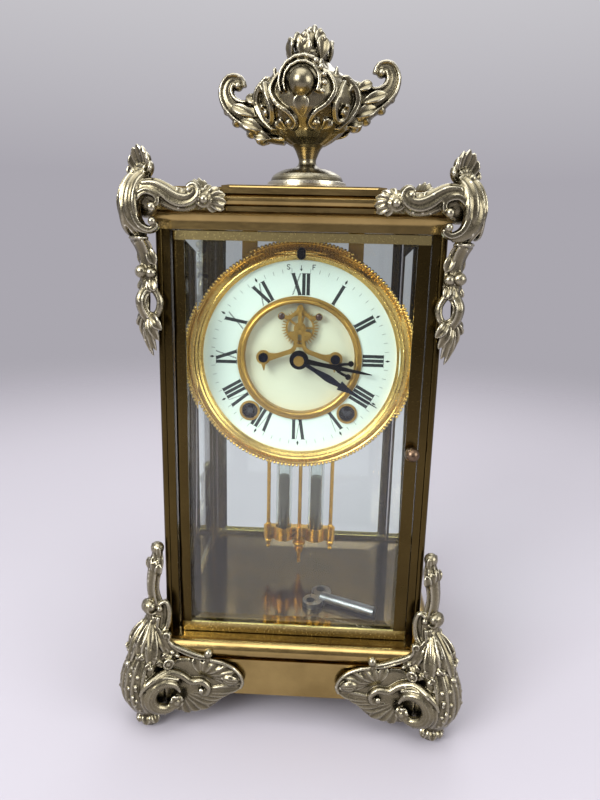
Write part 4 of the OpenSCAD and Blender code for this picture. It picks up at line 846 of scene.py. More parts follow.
    def cast(self) -> bpy.types.Mesh:
        """Builds the foot in the corner's frame."""
        job = Casting()
        self.body(job)
        for side in (1, -1):
            self.wing(job, side)
            self.eye(job, side)
            self.neck(job, side)
            self.rail(job, side)
        return job.fused("scroll_foot_cast", self.voxel_mm)

    def body(self, job: Casting) -> None:
        """Adds what lies on the diagonal: the ribbed body, the budded stem above it and the toe's leaves.

        Args:
            job: the casting to add to.
        """
        job.sweep(diagonal_line(self.BODY), DIAGONAL, steps=5)
        job.sweep(diagonal_line(self.STEM), DIAGONAL, Section.FLUTED, 5)
        job.ball((4, 0, 104), 3.5, (1, 1.1, 1))
        for turn in range(-2, 3):
            job.leaf((5, turn * 1.0, 88), (8 - abs(turn) * 0.9, turn * 2.9, 99.5 - abs(turn)), 2.2, 1.2,
                     (1, turn * 0.5, 0.2), 2.2)
            job.leaf((3.6, turn * 0.6, 97), (5.4, turn * 1.7, 106), 1.4, 0.9, (1, turn * 0.6, 0), 1.0)
        job.curl((9.6, 0, 71.6), 4.8, 1.1, 150, 1.5, 3.8, (1, 0, 0), UP)
        job.ball((10.4, 0, 72.2), 3.5, (1, 1.4, 1))
        for share in self.RIBS:
            job.sweep([(*self.skin(z, share, 0.1), 1.1, 1.3) for z in np.linspace(13, 66, 10)], DIAGONAL,
                      steps=2)
        for share, low in self.BODY_LEAVES:
            job.leaf(self.skin(self.neck_z, share * 0.6), self.skin(low, share, 1.0), 3.2, 1.5,
                     (1, share * 1.6, 0.2), 2.2)
            job.ball(self.skin(low + 1, share, 1.6), 1.9, (1, 1, 0.8))
        for share in self.BODY_STUDS:
            for z in range(16, 42, 7):
                job.ball(self.skin(z, share, 0.3), 0.95)
        for turn in range(-2, 3):
            c, s = math.cos(0.75 * turn), math.sin(0.75 * turn)
            job.leaf((self.toe_out + 1.5 * c, 1.5 * s, 9.4), (self.toe_out + 7.4 * c, 7.4 * s, 2.6),
                     2.7, 1.3, (c, s, 0.6), 1.6)
        job.ball((self.toe_out + 6.6, 0, 5.4), 1.9)

    def wing(self, job: Casting, side: int) -> None:
        """Adds the shell wing with its rays and rim, and the wave that rolls over it.

        Args:
            job: the casting to add to.
            side: 1 or -1, for the two faces beside the corner.
        """
        flat = face_normal(side)
        turned = self.ways(side)[1]
        job.sweep(self.line(self.WING, 1.4, side), flat)
        for a, z in self.LOW_TIPS:
            root = self.spot(9 + 0.1 * a, 23 + 0.1 * (z - 20), 2.6, side)
            job.leaf(root, self.spot(a, z, 2.2, side), 2.9, 1.6, flat, 1.2, full=0.72)
        for a, z in self.HIGH_TIPS:
            root = self.spot(22 + 0.1 * (a - 22), 33.6, 2.6, side)
            job.leaf(root, self.spot(a, z, 2.2, side), 2.8, 1.6, flat, 1.6, full=0.72)
        job.sweep(self.line([(a, z, 1.0, 1.3) for a, z in self.RIM], 2.8, side), flat)
        job.leaf(self.spot(33, 33.4, 4, side), self.spot(42.4, 31.6, 3.4, side), 3.2, 1.3, flat, 1.2,
                 Section.RIDGED, 0.5)
        job.sweep([(*self.spot(a, z, lift, side), half, thick)
                   for (a, z, half, thick), lift in zip(self.WAVE, self.WAVE_LIFT)], turned)
        job.ball(self.spot(21.8, 25.4, 5, side), 1.8)

    def eye(self, job: Casting, side: int) -> None:
        """Adds the horn that curls round the eye, the hollow behind it and the bud at its tip.

        Args:
            job: the casting to add to.
            side: 1 or -1, for the two faces beside the corner.
        """
        tangent, turned = self.ways(side)
        centre = on_face(3.0, self.fascia_out + 8.4, 24.2, side)

        def ring(rows: Rows, lift: float) -> list[tuple[float, ...]]:
            """Carries rows round the eye onto its leaning plane."""
            return [(*(centre + tangent * a + UP * z + turned * lift), h, t) for a, z, h, t in rows]

        horn = [(*spin(turn), thick) for turn, thick in self.HORN]
        crest = [(self.horn_r * c, self.horn_r * s, thick, 2.8) for c, s, thick in horn]
        edge = [(self.horn_edge_r * c, self.horn_edge_r * s, 0.9, 2.6) for c, s, _ in horn[1:7]]
        job.sweep(ring(crest, 0.6), turned, steps=5)
        job.sweep(ring(edge, -0.8), turned, steps=5)
        job.sweep(ring(self.HOLLOW, -4.6), turned)
        bud = centre + tangent * 5.6 - UP * 4.4 + turned * 1.2
        job.ball(bud, 2.6)
        for turn in range(0, 360, 60):
            c, s = spin(turn)
            petal = c * tangent + s * UP
            job.leaf(bud + 0.8 * petal, bud + 4.3 * petal, 1.9, 1.1, turned, 1.4)

    def neck(self, job: Casting, side: int) -> None:
        """Adds the lobed leaves that hang from the neck, the face's studs and the neck's scroll.

        Args:
            job: the casting to add to.
            side: 1 or -1, for the two faces beside the corner.
        """
        flat = face_normal(side)
        tangent, turned = self.ways(side)
        root = self.skin(self.neck_z, 0.3 * side, 0.4)
        for a, z, wide in self.NECK_LEAVES:
            tip = self.spot(a, z, 1.6, side)
            job.leaf(root, tip, wide, 1.7, turned, 2.6)
            job.ball(self.spot(a, z + 0.6, 2.2, side), 1.7, (1.1, 1.1, 0.8))
            for share, way in self.LEAF_LOBES:
                stalk = root * (1 - share) + tip * share + turned * 1.6
                job.leaf(stalk, stalk + tangent * (3.4 * way) - UP * 2.6, 1.5, 1.0, turned, 0.9)
        for a, z in self.FACE_LOBES:
            job.leaf(on_face(-0.6, 10.4, 56.5, side), self.spot(a, z, 2.4, side), 2.0, 1.3, turned, 1.2,
                     full=0.7)
            job.ball(self.spot(a - 0.3, z + 0.6, 3.0, side), 1.4, (1, 1, 0.8))
        for a, z in self.FACE_STUDS:
            job.ball(self.spot(a, z, 0.5, side), 1.05)
        for rows, thick in ((self.NECK_SCROLL, 1.6), (self.NECK_WEB, 1.2)):
            job.sweep([(*on_face(a, out, z, side), half, thick) for a, out, z, half in rows], flat)
        job.ball(on_face(-1.2, 8, 70.6, side), 1.8)

    def rail(self, job: Casting, side: int) -> None:
        """Adds the split rail that runs up from the wing, with its beads and curls.

        Args:
            job: the casting to add to.
            side: 1 or -1, for the two faces beside the corner.
        """
        flat = face_normal(side)
        out = self.fascia_out
        job.ball(self.spot(25.7, 47.2, 2.6, side), 2.5)
        job.ball(self.spot(25.5, 44.2, 2.4, side), 1.5, (1, 1, 1.8))
        stud = self.spot(4.4, 41.6, 4.2, side)
        job.ball(stud, 1.6)
        job.curl(stud, 3.0, 1.2, 0, 0.8, 1.4, self.ways(side)[0], UP, 0.7, False)
        for shift in (0.6, -0.6):
            job.sweep([(*on_face(a, out + 2.8, z + shift * half, side), 0.7, thick)
                       for a, z, half, thick in self.RAIL], flat)
        job.sweep([(*on_face(a, out + 2.2, z, side), half, 1.2) for a, z, half, _ in self.RAIL], flat)
        job.curl(on_face(2.8, out + 2.4, 57, side), 2.4, 1, -60, 0.9, 1.8, on_face(1, 0, 0, side), UP)

    def build(self) -> None:
        """Casts one foot and sets a copy at each corner."""
        for name, made in self.corners.each(self.cast()):
            place_piece(f"scroll_foot_{name}", made, Finish.GILT_CASTING, "case",
                        [f"foot_{name}"])


@dataclass
class CornerMounts:
    """Cast mounts on the cornice's corners: a ridged scroll, a shell, an arm on each face, a leaf drop."""

    corners: Corners
    voxel_mm: float = 0.4
    cornice_out: float = 8.0

    # Scrolls on the diagonal: out, height, half depth and half width
    BAND = ((3, 290.6, 2.2, 5), (7, 292.4, 2.8, 6.4), (11.2, 289, 3.2, 7.2), (13.6, 282, 3.4, 7.8),
            (12.6, 275, 3.4, 7.4), (9.6, 270, 3, 6.6), (7, 267.4, 2.4, 5.8))
    STEM = ((9, 264.6, 2.4, 6), (6.4, 261, 3, 5.4), (4.6, 256, 3.3, 4.8), (3.9, 250, 3.5, 4.9),
            (4.2, 243.6, 3.2, 5.4))
    LINK = ((5.2, 241.4, 2.4, 3.6), (8.4, 236.6, 2.2, 3.4), (7.8, 231.6, 2.2, 3.4), (5, 227.4, 2.4, 4.4))
    # Side links: out, sideways, height, half depth and half width
    SIDE_LINK = ((3.4, 3.6, 241.4, 1.9, 1.9), (1.8, 6.2, 236.4, 1.7, 1.9), (2.2, 6, 231.4, 1.7, 1.9),
                 (3.8, 3.4, 227, 2, 2))
    # Heights of the drop's tips, from the middle one outwards
    DROP_TIPS = (207.8, 211, 216.4, 222)
    # Scrolls and tips on a face: along from the corner, height, then half height and half thickness
    CRESCENT = ((2, 287, 2.6, 2), (-3.6, 286, 4, 2.4), (-7.6, 281, 5, 2.8), (-7.4, 274.4, 4.8, 2.6),
                (-3.6, 269.6, 3.4, 2.2), (1, 267.4, 1.6, 1.8))
    SCROLL_C = ((2.8, 278.6, 1.6, 2), (5.2, 280.6, 1.5, 2), (4.4, 284, 1.7, 2.2), (-0.6, 285.4, 1.9, 2.4),
                (-4.8, 281.8, 2.0, 2.6), (-5.6, 276, 2.0, 2.6), (-3.2, 270.8, 1.8, 2.4),
                (1.2, 268.6, 1.7, 2.2), (4.4, 270.2, 1.5, 2), (3.4, 272.6, 1.3, 1.8))
    ARM = ((-2, 288, 2.6, 2.6), (3.4, 287.8, 3.4, 3.2), (8, 285.6, 3.8, 3.4), (12, 283, 4.2, 3.4),
           (16.4, 281.6, 4.2, 3.4), (20.6, 282.6, 3.6, 3.2), (23.2, 285.6, 2.8, 2.8),
           (21.4, 288.4, 2.1, 2.4), (18.8, 287.2, 1.6, 2.2))
    ARM_BACK = ((-2, 285, 3, 1.8), (6, 283.8, 4.2, 2), (14, 282.8, 4.8, 2), (22, 282.8, 4.9, 1.9),
                (30, 282.6, 4.2, 1.6), (35, 282.2, 2, 1.2))
    ARM_UNDER = ((4.6, 282.4, 1.2, 1.8), (8.6, 280.2, 1.6, 2), (14, 278.6, 1.8, 2.1), (19.6, 278.8, 1.6, 2),
                 (23.2, 280.8, 1.1, 1.6))
    ROSETTE = (26.6, 282.4)
    END_TIPS = ((36.6, 281.2), (36, 285), (33.4, 287.6), (29.2, 289), (35.4, 278.2), (31.6, 277.2))

    def cast(self) -> bpy.types.Mesh:
        """Builds the mount in the corner's frame."""
        job = Casting()
        job.sweep(diagonal_line(self.BAND), DIAGONAL, Section.RIDGED, 6)
        job.ball((4, 0, 283), 6, (1.1, 1.3, 1.5))
        for k in range(-3, 4):
            c, s = spin(k * 23)
            job.leaf((6.6, k * 0.6, 289.6), (8.2 - 0.3 * abs(k), 10.4 * s, 293.6 + 13 * c), 2.9, 1.5,
                     (1, -0.3 * k, 0.1), -2.4, full=0.78)
            if abs(k) < 3:
                job.ball((6.2, k * 2.0, 297.4 - 0.6 * abs(k)), 1.4)
        job.ball((10, 0, 294), 2.0)
        job.sweep([(8.4 - 0.25 * abs(y), y, 295.6 - 0.06 * y * y, 0.9, 1.2) for y in (-6, -3.4, 0, 3.4, 6)],
                  (1, 0, 0.3))
        job.ball((8.6, 0, 265), 1.8, (2.2, 3.8, 0.8))
        job.ball((7.4, 0, 266.8), 1.5, (1.6, 3.2, 0.8))
        job.sweep(diagonal_line(self.STEM), DIAGONAL, Section.FLUTED, 5)
        job.ball((7.6, 0, 249.4), 3.3)
        for side in (1, -1):
            job.ball((5.4, 5.0 * side, 249), 2.6)
            job.leaf((6, 2.6 * side, 262.6), (3.8, 6.2 * side, 252.4), 2.6, 1.3, (0.8, side, 0), 1.0)
        for k in range(-3, 4):
            job.leaf((4, k * 0.8, 247.6), (7.2 - 0.6 * abs(k), k * 2.4, 238.2 + abs(k) * 0.7), 2.1, 1.2,
                     (1, 0.4 * k, 0.2), 1.1)
            job.leaf((5, k * 0.9, 230.4), (2.6 + 0.3 * abs(k), k * 3.3, self.DROP_TIPS[abs(k)]), 2.6, 1.5,
                     (1, 0.3 * k, 0), 2.4, full=0.5)
        job.sweep(diagonal_line(self.LINK), DIAGONAL, Section.FLUTED)
        for side in (1, -1):
            job.sweep([(x, y * side, z, deep, wide) for x, y, z, deep, wide in self.SIDE_LINK], (1, 0, 0))
            self.face(job, side)
        return job.fused("corner_mount_cast", self.voxel_mm)

    def face(self, job: Casting, side: int) -> None:
        """Adds what lies on one face: the crescent, the C scroll and the arm with its rosette and leaves.

        Args:
            job: the casting to add to.
            side: 1 or -1, for the two faces beside the corner.
        """
        normal = face_normal(side)
        out = self.cornice_out

        def spot(a: float, z: float, lift: float) -> np.ndarray:
            """Gives a place on the face, lift beyond the cornice."""
            return on_face(a, out + lift, z, side)

        job.sweep(face_line(self.CRESCENT, out + 3.4, side), normal, Section.CUPPED, 5)
        job.sweep(face_line(self.SCROLL_C, out + 4.4, side), normal, Section.FLUTED, 5)
        job.ball(spot(2.8, 278.6, 6.2), 2.2)
        job.ball(spot(2.8, 272.4, 6.0), 2.0)
        job.sweep(face_line(self.ARM_BACK, out + 1.0, side), normal)
        job.sweep(face_line(self.ARM, out + 3.2, side), normal, Section.FLUTED, 5)
        job.sweep(face_line(self.ARM_UNDER, out + 2.4, side), normal)
        job.ball(spot(19.8, 286.2, 4.8), 1.6)
        a, z = self.ROSETTE
        job.curl(spot(a, z, 3.4), 4.0, 0.9, 100, 1.2, 1.9, on_face(1, 0, 0, side), UP, 0.55)
        job.ball(spot(a, z, 5.2), 2.2)
        for turn in range(20, 380, 60):
            c, s = spin(turn)
            job.leaf(spot(a + c, z + s, 4.4), spot(a + 4 * c, z + 4 * s, 3.8), 1.5, 0.9, normal, 0.8)
        for a, z in self.END_TIPS:
            job.leaf(spot(26, 283, 2.6), spot(a, z, 1.6), 2.0, 1.2, normal, 2.0, full=0.7)
        for a, z in ((12.4, 288), (16, 287.4)):
            job.leaf(spot(14, 283.4, 3), spot(a, z, 2.6), 1.8, 1.1, normal, 1.4)

    def build(self) -> None:
        """Casts one mount and sets a copy at each corner."""
        for name, made in self.corners.each(self.cast()):
            place_piece(f"corner_mount_cast_{name}", made, Finish.GILT_CASTING, "case",
                        [f"corner_mount_{name}"])


@dataclass
class Urn:
    """Cast urn: a bowl with scrolled handles, a ball in a cartouche front and back, and a leafy flame."""

    bowl_z: float = 318.7
    bowl_h: float = 40.0
    voxel_mm: float = 0.42
    around: int = 64

    # The bowl: height and radius; a handle: out, up, half depth and half width
    PROFILE = ((-1.5, 9.6), (1, 14), (4, 18), (8.6, 22.2), (14, 25.2), (20, 27), (26, 26.2), (32, 21.6),
               (37, 13.8), (40, 11))
    HANDLE = ((12, 15, 13, 11), (20, 15.4, 12.4, 10), (27, 16, 10.4, 8.4), (33, 17, 7.6, 6.8),
              (38.6, 18.8, 5.4, 5.6), (43.6, 23, 4.2, 4.8), (45.4, 29, 3.5, 4.2), (42.8, 34, 3.0, 3.8),
              (38.4, 33.8, 2.6, 3.4), (37, 30.6, 2.3, 3))
    # How far the handle's rows are raised on the right, and on the left, which hangs lower
    HANDLE_RISE = {1: 4.4, -1: -3.0}
    # Buds: out, up and radius; leaves: root out and up, tip out and up, half width
    HANDLE_BUDS = ((31.4, 7.2, 3.0), (39.6, 12.6, 2.7), (44.8, 18.2, 2.2), (25, 3.4, 2.8))
    HANDLE_LEAVES = ((24, 8, 37, 13.4, 3.4), (28, 15, 42, 20.6, 3.0), (25, 21, 34, 25.6, 2.8),
                     (20, 4, 30, 6, 3.2))
    # Scrolls on the bowl: turn, height and lift of each place, then half depth, half width and an end bead
    SCROLLS = ((((20, 33, 1.6), (32, 29, 1.6), (36, 22, 1.6), (28, 15, 1.4), (16, 11, 1.2), (10, 6.6, 1.2),
                 (17, 4.4, 1.4), (23, 7, 1.4)), 1.5, 1.9, (19, 7, 1.4, 1.9)),
               (((50, 27, 1.6), (42, 21, 1.6), (38, 14, 1.6), (46, 8.6, 1.6), (56, 10, 1.8), (56, 15, 1.8),
                 (50, 15.4, 1.8)), 1.5, 1.9, (51.4, 12.6, 1.6, 2.0)),
               (((58, 31, 1.4), (68, 25, 1.8), (72, 18, 2), (66, 10, 2), (56, 4.6, 1.4)), 1.7, 2.1, None))
    # Leaves on the bowl: turn and height of the root, turn and height of the tip
    BOWL_LEAVES = ((24, 35, 40, 37.4), (42, 30, 58, 34), (60, 24, 78, 29), (30, 4, 38, 9), (60, 3, 70, 9))
    # Rings of the flame: leaves, root's radius, root's and tip's height, tip's radius and half width
    FLAME_RINGS = ((7, 10, 0, 11.6, 11.2, 4.4), (5, 6.4, 3, 16, 7, 4.2), (3, 3, 8, 18.8, 2.4, 3.6))

    def radius(self, up: float) -> float:
        """Gives the bowl's radius at a height above its seat."""
        line = np.array(self.PROFILE)
        return float(np.interp(up, line[:, 0], line[:, 1]))

    def on_bowl(self, turn: float, up: float, lift: float) -> np.ndarray:
        """Finds a place on the bowl.

        Args:
            turn: angle from the front, to the right, in degrees.
            up: height above the bowl's seat.
            lift: height above the skin.

        Returns:
            The place in millimetres.
        """
        r = self.radius(up) + lift
        c, s = spin(turn)
        return np.array([r * s, -r * c, self.bowl_z + up])

    def wander(self, job: Casting, rows: Sequence[Point], deep: float, wide: float) -> None:
        """Lays a fluted scroll on the bowl.

        Args:
            job: the casting to add to.
            rows: turn, height and lift along the scroll.
            deep: half depth of the scroll.
            wide: half width of the scroll.
        """
        turn, up, _ = rows[len(rows) // 2]
        face = self.on_bowl(turn, up, 1) - self.on_bowl(turn, up, 0)
        last = len(rows) - 1
        job.sweep([(*self.on_bowl(*row), deep * (0.65 + 0.35 * math.sin(math.pi * i / last)), wide)
                   for i, row in enumerate(rows)], face, Section.FLUTED, 5)

    def cast_bowl(self) -> bpy.types.Mesh:
        """Builds the bowl with its handles and ornament."""
        job = Casting()
        low = self.PROFILE[0][0]
        wall = [(u, self.radius(u)) for u in np.linspace(low, self.bowl_h, 33)]
        rows = [(low, 0.02), *wall, (self.bowl_h, 0.02)]
        points = []
        for up, r in rows:
            for j in range(self.around):
                turn = 2 * math.pi * j / self.around
                lobe = 1 + 0.025 * math.cos(16 * turn) * max(0.0, 1 - up / 12)
                points.append((r * lobe * math.cos(turn), r * lobe * math.sin(turn), self.bowl_z + up))
        job.add(np.array(points), ring_faces(self.around, len(rows)))
        for side in (1, -1):
            self.handle(job, side)
        for turn in (0, 180):
            self.cartouche(job, turn - 6)
        return job.fused("urn_bowl_cast", self.voxel_mm)

    def handle(self, job: Casting, side: int) -> None:
        """Adds one scrolled handle: a web with a raised edge on both sides, and leaves at its root.

        Args:
            job: the casting to add to.
            side: 1 for the right, -1 for the left, which hangs lower.
        """
        z = self.bowl_z + self.HANDLE_RISE[side]
        rows = smooth_line(self.HANDLE, 3)
        course = np.gradient(rows[:, :2], axis=0)
        course /= np.linalg.norm(course, axis=1, keepdims=True)
        job.sweep([(side * a, 0.0, z + u, 0.9 * deep, 0.66 * wide) for a, u, deep, wide in rows],
                  (0, side, 0), steps=1)
        for edge in (0.86, -0.86):
            job.sweep([(side * (a - c[1] * edge * deep), 0.0, z + u + c[0] * edge * deep, 0.1 * deep + 1.0,
                        wide * (0.9 if a > 26 else 0.6)) for (a, u, deep, wide), c in zip(rows, course)],
                      (0, side, 0), steps=1)
        job.ball((side * 38.8, 0, z + 31.4), 2.6, (1, 1.5, 1))
        for a, u, r in self.HANDLE_BUDS:
            job.ball((side * a, 0, z + u), r, (1, 1.9, 0.8))
        for a, u, b, v, wide in self.HANDLE_LEAVES:
            for front in (1, -1):
                job.leaf((side * a, 6.4 * front, z + u), (side * b, 4.4 * front, z + v), wide, 1.6,
                         (0.2 * side, front, 0.2), 1.4)

    def cartouche(self, job: Casting, turn: float) -> None:
        """Adds the ball in its scrolled frame, and the scrolls beside it.

        Args:
            job: the casting to add to.
            turn: where it lies, in degrees from the front.
        """
        middle = self.on_bowl(turn, 25, 0.4)
        right = np.array([*spin(turn), 0.0])
        job.ball(middle, 7.0)
        job.curl(middle, 9.4, 0.66, -30, 1.5, 2.6, right, UP, 0.98, False)
        job.curl(middle, 12.2, 0.4, 60, 1.3, 2.2, right, UP, 0.96, False)
        for k in range(5):
            c, s = spin(-23 + 19 * k)
            job.ball(middle + 11.8 * (right * c + UP * s) + 0.8 * np.cross(right, UP), 1.5)
        job.ball(self.on_bowl(turn, 37, 3.0), 2.6, (1.6, 1, 0.85))
        job.leaf(self.on_bowl(turn, 19, 2.0), self.on_bowl(turn, 9, 2.2), 4.4, 1.6,
                 self.on_bowl(turn, 15, 1) * (1, 1, 0), 1.0, full=0.4)
        for side in (1, -1):
            for rows, deep, wide, bead in self.SCROLLS:
                self.wander(job, [(turn + side * a, u, lift) for a, u, lift in rows], deep, wide)
                if bead:
                    a, u, lift, r = bead
                    job.ball(self.on_bowl(turn + side * a, u, lift), r)
            for a, u, b, v in self.BOWL_LEAVES:
                root, tip = self.on_bowl(turn + side * a, u, 0.4), self.on_bowl(turn + side * b, v, 0.8)
                out = self.on_bowl(turn + side * (a + b) / 2, (u + v) / 2, 1) * (1, 1, 0)
                job.leaf(root, tip, 2.8, 1.3, out, 1.4)

    def cast_flame(self) -> bpy.types.Mesh:
        """Builds the leafy flame above the bowl's mouth."""
        job = Casting()
        z = self.bowl_z + self.bowl_h
        job.ball((0, 0, z + 3), 9, (1.1, 1.1, 0.5))
        job.ball((0, 0, z + 8), 7, (0.8, 0.8, 1.2))
        for ring, (count, r, low, high, lean, wide) in enumerate(self.FLAME_RINGS):
            for k in range(count):
                turn = 2 * math.pi * (k + 0.4 * ring) / count
                c, s = math.cos(turn), math.sin(turn)
                top = z + high - 2.2 * (k % 2)
                job.leaf((r * c, r * s, z + low), (lean * c, lean * s, top), wide, 1.8, (c, s, 0.1), 1.2,
                         full=0.62)
                job.ball((1.02 * lean * c, 1.02 * lean * s, top - 1.4), 1.6)
        return job.fused("urn_flame_cast", self.voxel_mm)

    def build(self) -> None:
        """Casts the bowl and the flame and sets them on the turned foot."""
        for name, made in (("urn_bowl", self.cast_bowl()), ("urn_flame", self.cast_flame())):
            place_piece(f"{name}_cast", made, Finish.GILT_CASTING, "case", [name])


class Glyph(Enum):
    """Strokes of the Roman figures: each is bottom and top across, and whether it is broad."""

    I = ((0.0, 0.0, True),)
    V = ((0.0, -1.7, True), (0.3, 1.9, False))
    X = ((1.9, -1.9, True), (-2.1, 1.7, False), (-1.7, 2.1, False))

    def width(self) -> float:
        """Gives the half width that the figure takes, in millimetres."""
        return {Glyph.I: 1.15, Glyph.V: 2.3, Glyph.X: 2.6}[self]


@dataclass
class DialPrint:
    """Painting on the chapter ring: Roman figures, hour marks, minute strokes, slow and fast marks."""

    centre_z: float = 205.0
    face_y: float = -43.0
    lift_mm: float = 0.05
    sunk_mm: float = 0.08
    figure_in: float = 33.4
    figure_out: float = 44.4
    broad: float = 1.75
    hair: float = 0.22
    serif: float = 1.25
    minute_w: float = 0.24
    mark_x: float = 6.6
    mark_w: float = 0.42

    FIGURES = ("XII", "I", "II", "III", "IIII", "V", "VI", "VII", "VIII", "IX", "X", "XI")
    # Corners and stroke ends: sideways and out from the dial's centre
    HOUR_MARK = ((0, 45.2), (0.62, 46.4), (0, 48), (-0.62, 46.4))
    FAST = (((-0.7, 46.2), (-0.7, 48.8)), ((-0.7, 48.7), (0.9, 48.7)), ((-0.7, 47.6), (0.5, 47.6)))
    SLOW = ((0.8, 48.3), (0.1, 48.8), (-0.7, 48.4), (-0.5, 47.7), (0.4, 47.3), (0.8, 46.7), (0.1, 46.2),
            (-0.8, 46.6))
    ARROW = ((0, 45.4), (0.8, 46.8), (0, 46.5), (-0.8, 46.8))

    def patch(self, paint: Casting, corners: Rows, turn: float) -> None:
        """Adds one painted shape, as a thin slab let into the enamel.

        Args:
            paint: what it is added to.
            corners: its corners, sideways and out from the dial's centre.
            turn: the hour angle that it is turned by, clockwise, in degrees.
        """
        c, s = spin(turn)
        front = np.array([(x * c + r * s, self.face_y - self.lift_mm, self.centre_z - x * s + r * c)
                          for x, r in corners])
        paint.add(np.concatenate([front + (0, self.sunk_mm, 0), front]), ring_faces(len(front), 2))

    def stroke(self, paint: Casting, a: Point, b: Point, width: float, turn: float) -> None:
        """Adds one painted stroke with square ends.

        Args:
            paint: what it is added to.
            a: one end, sideways and out.
            b: the other end.
            width: its width.
            turn: the hour angle that it is turned by.
        """
        d = np.subtract(b, a)
        n = np.array([-d[1], d[0]]) / np.linalg.norm(d) * width / 2
        self.patch(paint, [np.add(a, n), np.subtract(a, n), np.subtract(b, n), np.add(b, n)], turn)

    def figure(self, paint: Casting, text: str, turn: float) -> None:
        """Adds one Roman figure.

        Args:
            paint: what it is added to.
            text: its letters.
            turn: its hour angle.
        """
        glyphs = [Glyph[c] for c in text]
        x = -sum(2 * g.width() for g in glyphs) / 2
        for glyph in glyphs:
            x += glyph.width()
            for low, high, broad in glyph.value:
                self.stroke(paint, (x + low, self.figure_in), (x + high, self.figure_out),
                            self.broad if broad else self.hair, turn)
                if broad:
                    for r, at in ((self.figure_in, x + low), (self.figure_out, x + high)):
                        self.stroke(paint, (at - self.serif, r), (at + self.serif, r), self.hair, turn)
            x += glyph.width()

    def build(self) -> None:
        """Paints the dial."""
        black, grey = Casting(), Casting()
        for hour, text in enumerate(self.FIGURES):
            self.figure(black, text, 30.0 * hour)
            if hour:
                self.patch(black, self.HOUR_MARK, 30.0 * hour)
        for minute in range(60):
            if minute % 5:
                self.stroke(grey, (0, 45.1), (0, 47.1), self.minute_w, 6.0 * minute)
        for shift, strokes in ((self.mark_x, self.FAST), (-self.mark_x, zip(self.SLOW, self.SLOW[1:]))):
            for a, b in strokes:
                self.stroke(black, (a[0] + shift, a[1]), (b[0] + shift, b[1]), self.mark_w, 0)
        self.stroke(black, (0, 46.4), (0, 48.4), 0.36, 0)
        self.patch(black, self.ARROW, 0)
        for name, paint, choice in (("dial_figures", black, Finish.BLACK_PAINT),
                                    ("dial_minutes", grey, Finish.GREY_PAINT)):
            place_piece(name, paint.plain(name, False), choice, "case")


@dataclass
class BezelMilling:
    """Beaded milling round the bezel's rim."""

    centre_z: float = 205.0
    y: float = -44.7
    ring_r: float = 58.8
    bead_r: float = 0.95
    count: int = 180
    rows: int = 4
    around: int = 7
    pole: float = 0.02

    def build(self) -> None:
        """Sets the beads round the rim as one piece."""
        job = Casting()
        tilts = [math.pi * (i + self.pole) / (self.rows + 2 * self.pole) for i in range(self.rows + 1)]
        bead = np.array([(math.sin(tilt) * c, -math.cos(tilt), math.sin(tilt) * s)
                         for tilt in tilts for c, s in circle(self.around)])
        for c, s in circle(self.count):
            at = np.array([self.ring_r * s, self.y, self.centre_z + self.ring_r * c])
            job.add(at + self.bead_r * bead, ring_faces(self.around, self.rows + 1))
        made = job.plain("bezel_milling", True)
        place_piece("bezel_milling", made, Finish.TURNED_GOLD, "case")


@dataclass
class PalletStones:
    """Domed agate heads of the two pallets, seen through the dial's opening."""

    y: float = -43.2
    half_span: float = 9.75
    z: float = 227.3
    stone_r: float = 1.7
    stone_h: float = 0.9
    sides: int = 28

    # Share of the stone's radius and of its height, from the foot to the top
    DOME = ((1.0, 0.0), (1.0, 0.45), (0.86, 0.75), (0.5, 0.94), (0.04, 1.0))

    def build(self) -> None:
        """Sets both stones on the pallets as one piece."""
        job = Casting()
        for side in (-1, 1):
            points = [(side * self.half_span + self.stone_r * r * c, self.y - self.stone_h * h,
                       self.z + self.stone_r * r * s) for r, h in self.DOME for c, s in circle(self.sides)]
            job.add(np.array(points), ring_faces(self.sides, len(self.DOME)))
        made = job.plain("pallet_stones", True)
        place_piece("pallet_stones", made, Finish.AGATE, "pallets")


@dataclass
class ClockNodes:
    """Finishes of the nodes that are shown as they were made."""

    FINISHES = {
        Finish.TONED_BRASS: ("corner_posts",),
        Finish.DOOR_BRASS: ("front_door_frame", "back_door_frame"),
        Finish.BUFFED_BRASS: ("base_plinth", "cornice", "top_cap"),
        Finish.GILT_CASTING: ("toes", "urn_foot"),
        Finish.DULL_BRASS: ("floor_plate",),
        Finish.TURNED_GOLD: ("bezel",),
        Finish.CLOCK_BRASS: ("dial_trims", "movement_hangers", "front_plate", "back_plate",
                             "suspension_cock", "hammer", "time_barrel", "strike_barrel",
                             "intermediate_wheel", "center_wheel", "third_wheel", "escape_wheel",
                             "pin_wheel", "fly", "minute_wheel", "hour_wheel", "escapement_bridge",
                             "pallet_anchor"),
        Finish.POLISHED_BRASS: ("pendulum_rod", "pendulum_frame", "rating_nut"),
        Finish.BROWN_BRONZE: ("front_door_knob", "back_door_knob"),
        Finish.GROUND_STEEL: ("door_pins", "winding_key"),
        Finish.SHADED_STEEL: ("time_arbor", "strike_arbor"),
        Finish.BLUED_STEEL: ("bridge_screws", "minute_hand", "gong"),
        Finish.BLACK_STEEL: ("hour_hand", "regulator_arbor"),
        Finish.QUICKSILVER: ("mercury",),
        Finish.WHITE_ENAMEL: ("dial_ring",),
        Finish.CREAM_ENAMEL: ("dial_center",),
        Finish.PANE: ("side_glass_left", "side_glass_right", "front_door_glass", "back_door_glass"),
        Finish.VIAL: ("pendulum_vials",),
    }

    def build(self) -> None:
        """Puts each finish on its nodes."""
        for choice, names in self.FINISHES.items():
            for name in names:
                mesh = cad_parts[name].data
                mesh.materials.clear()
                mesh.materials.append(finish_of(choice))
                LOG.info("node %s is %s", name, choice.name.lower())


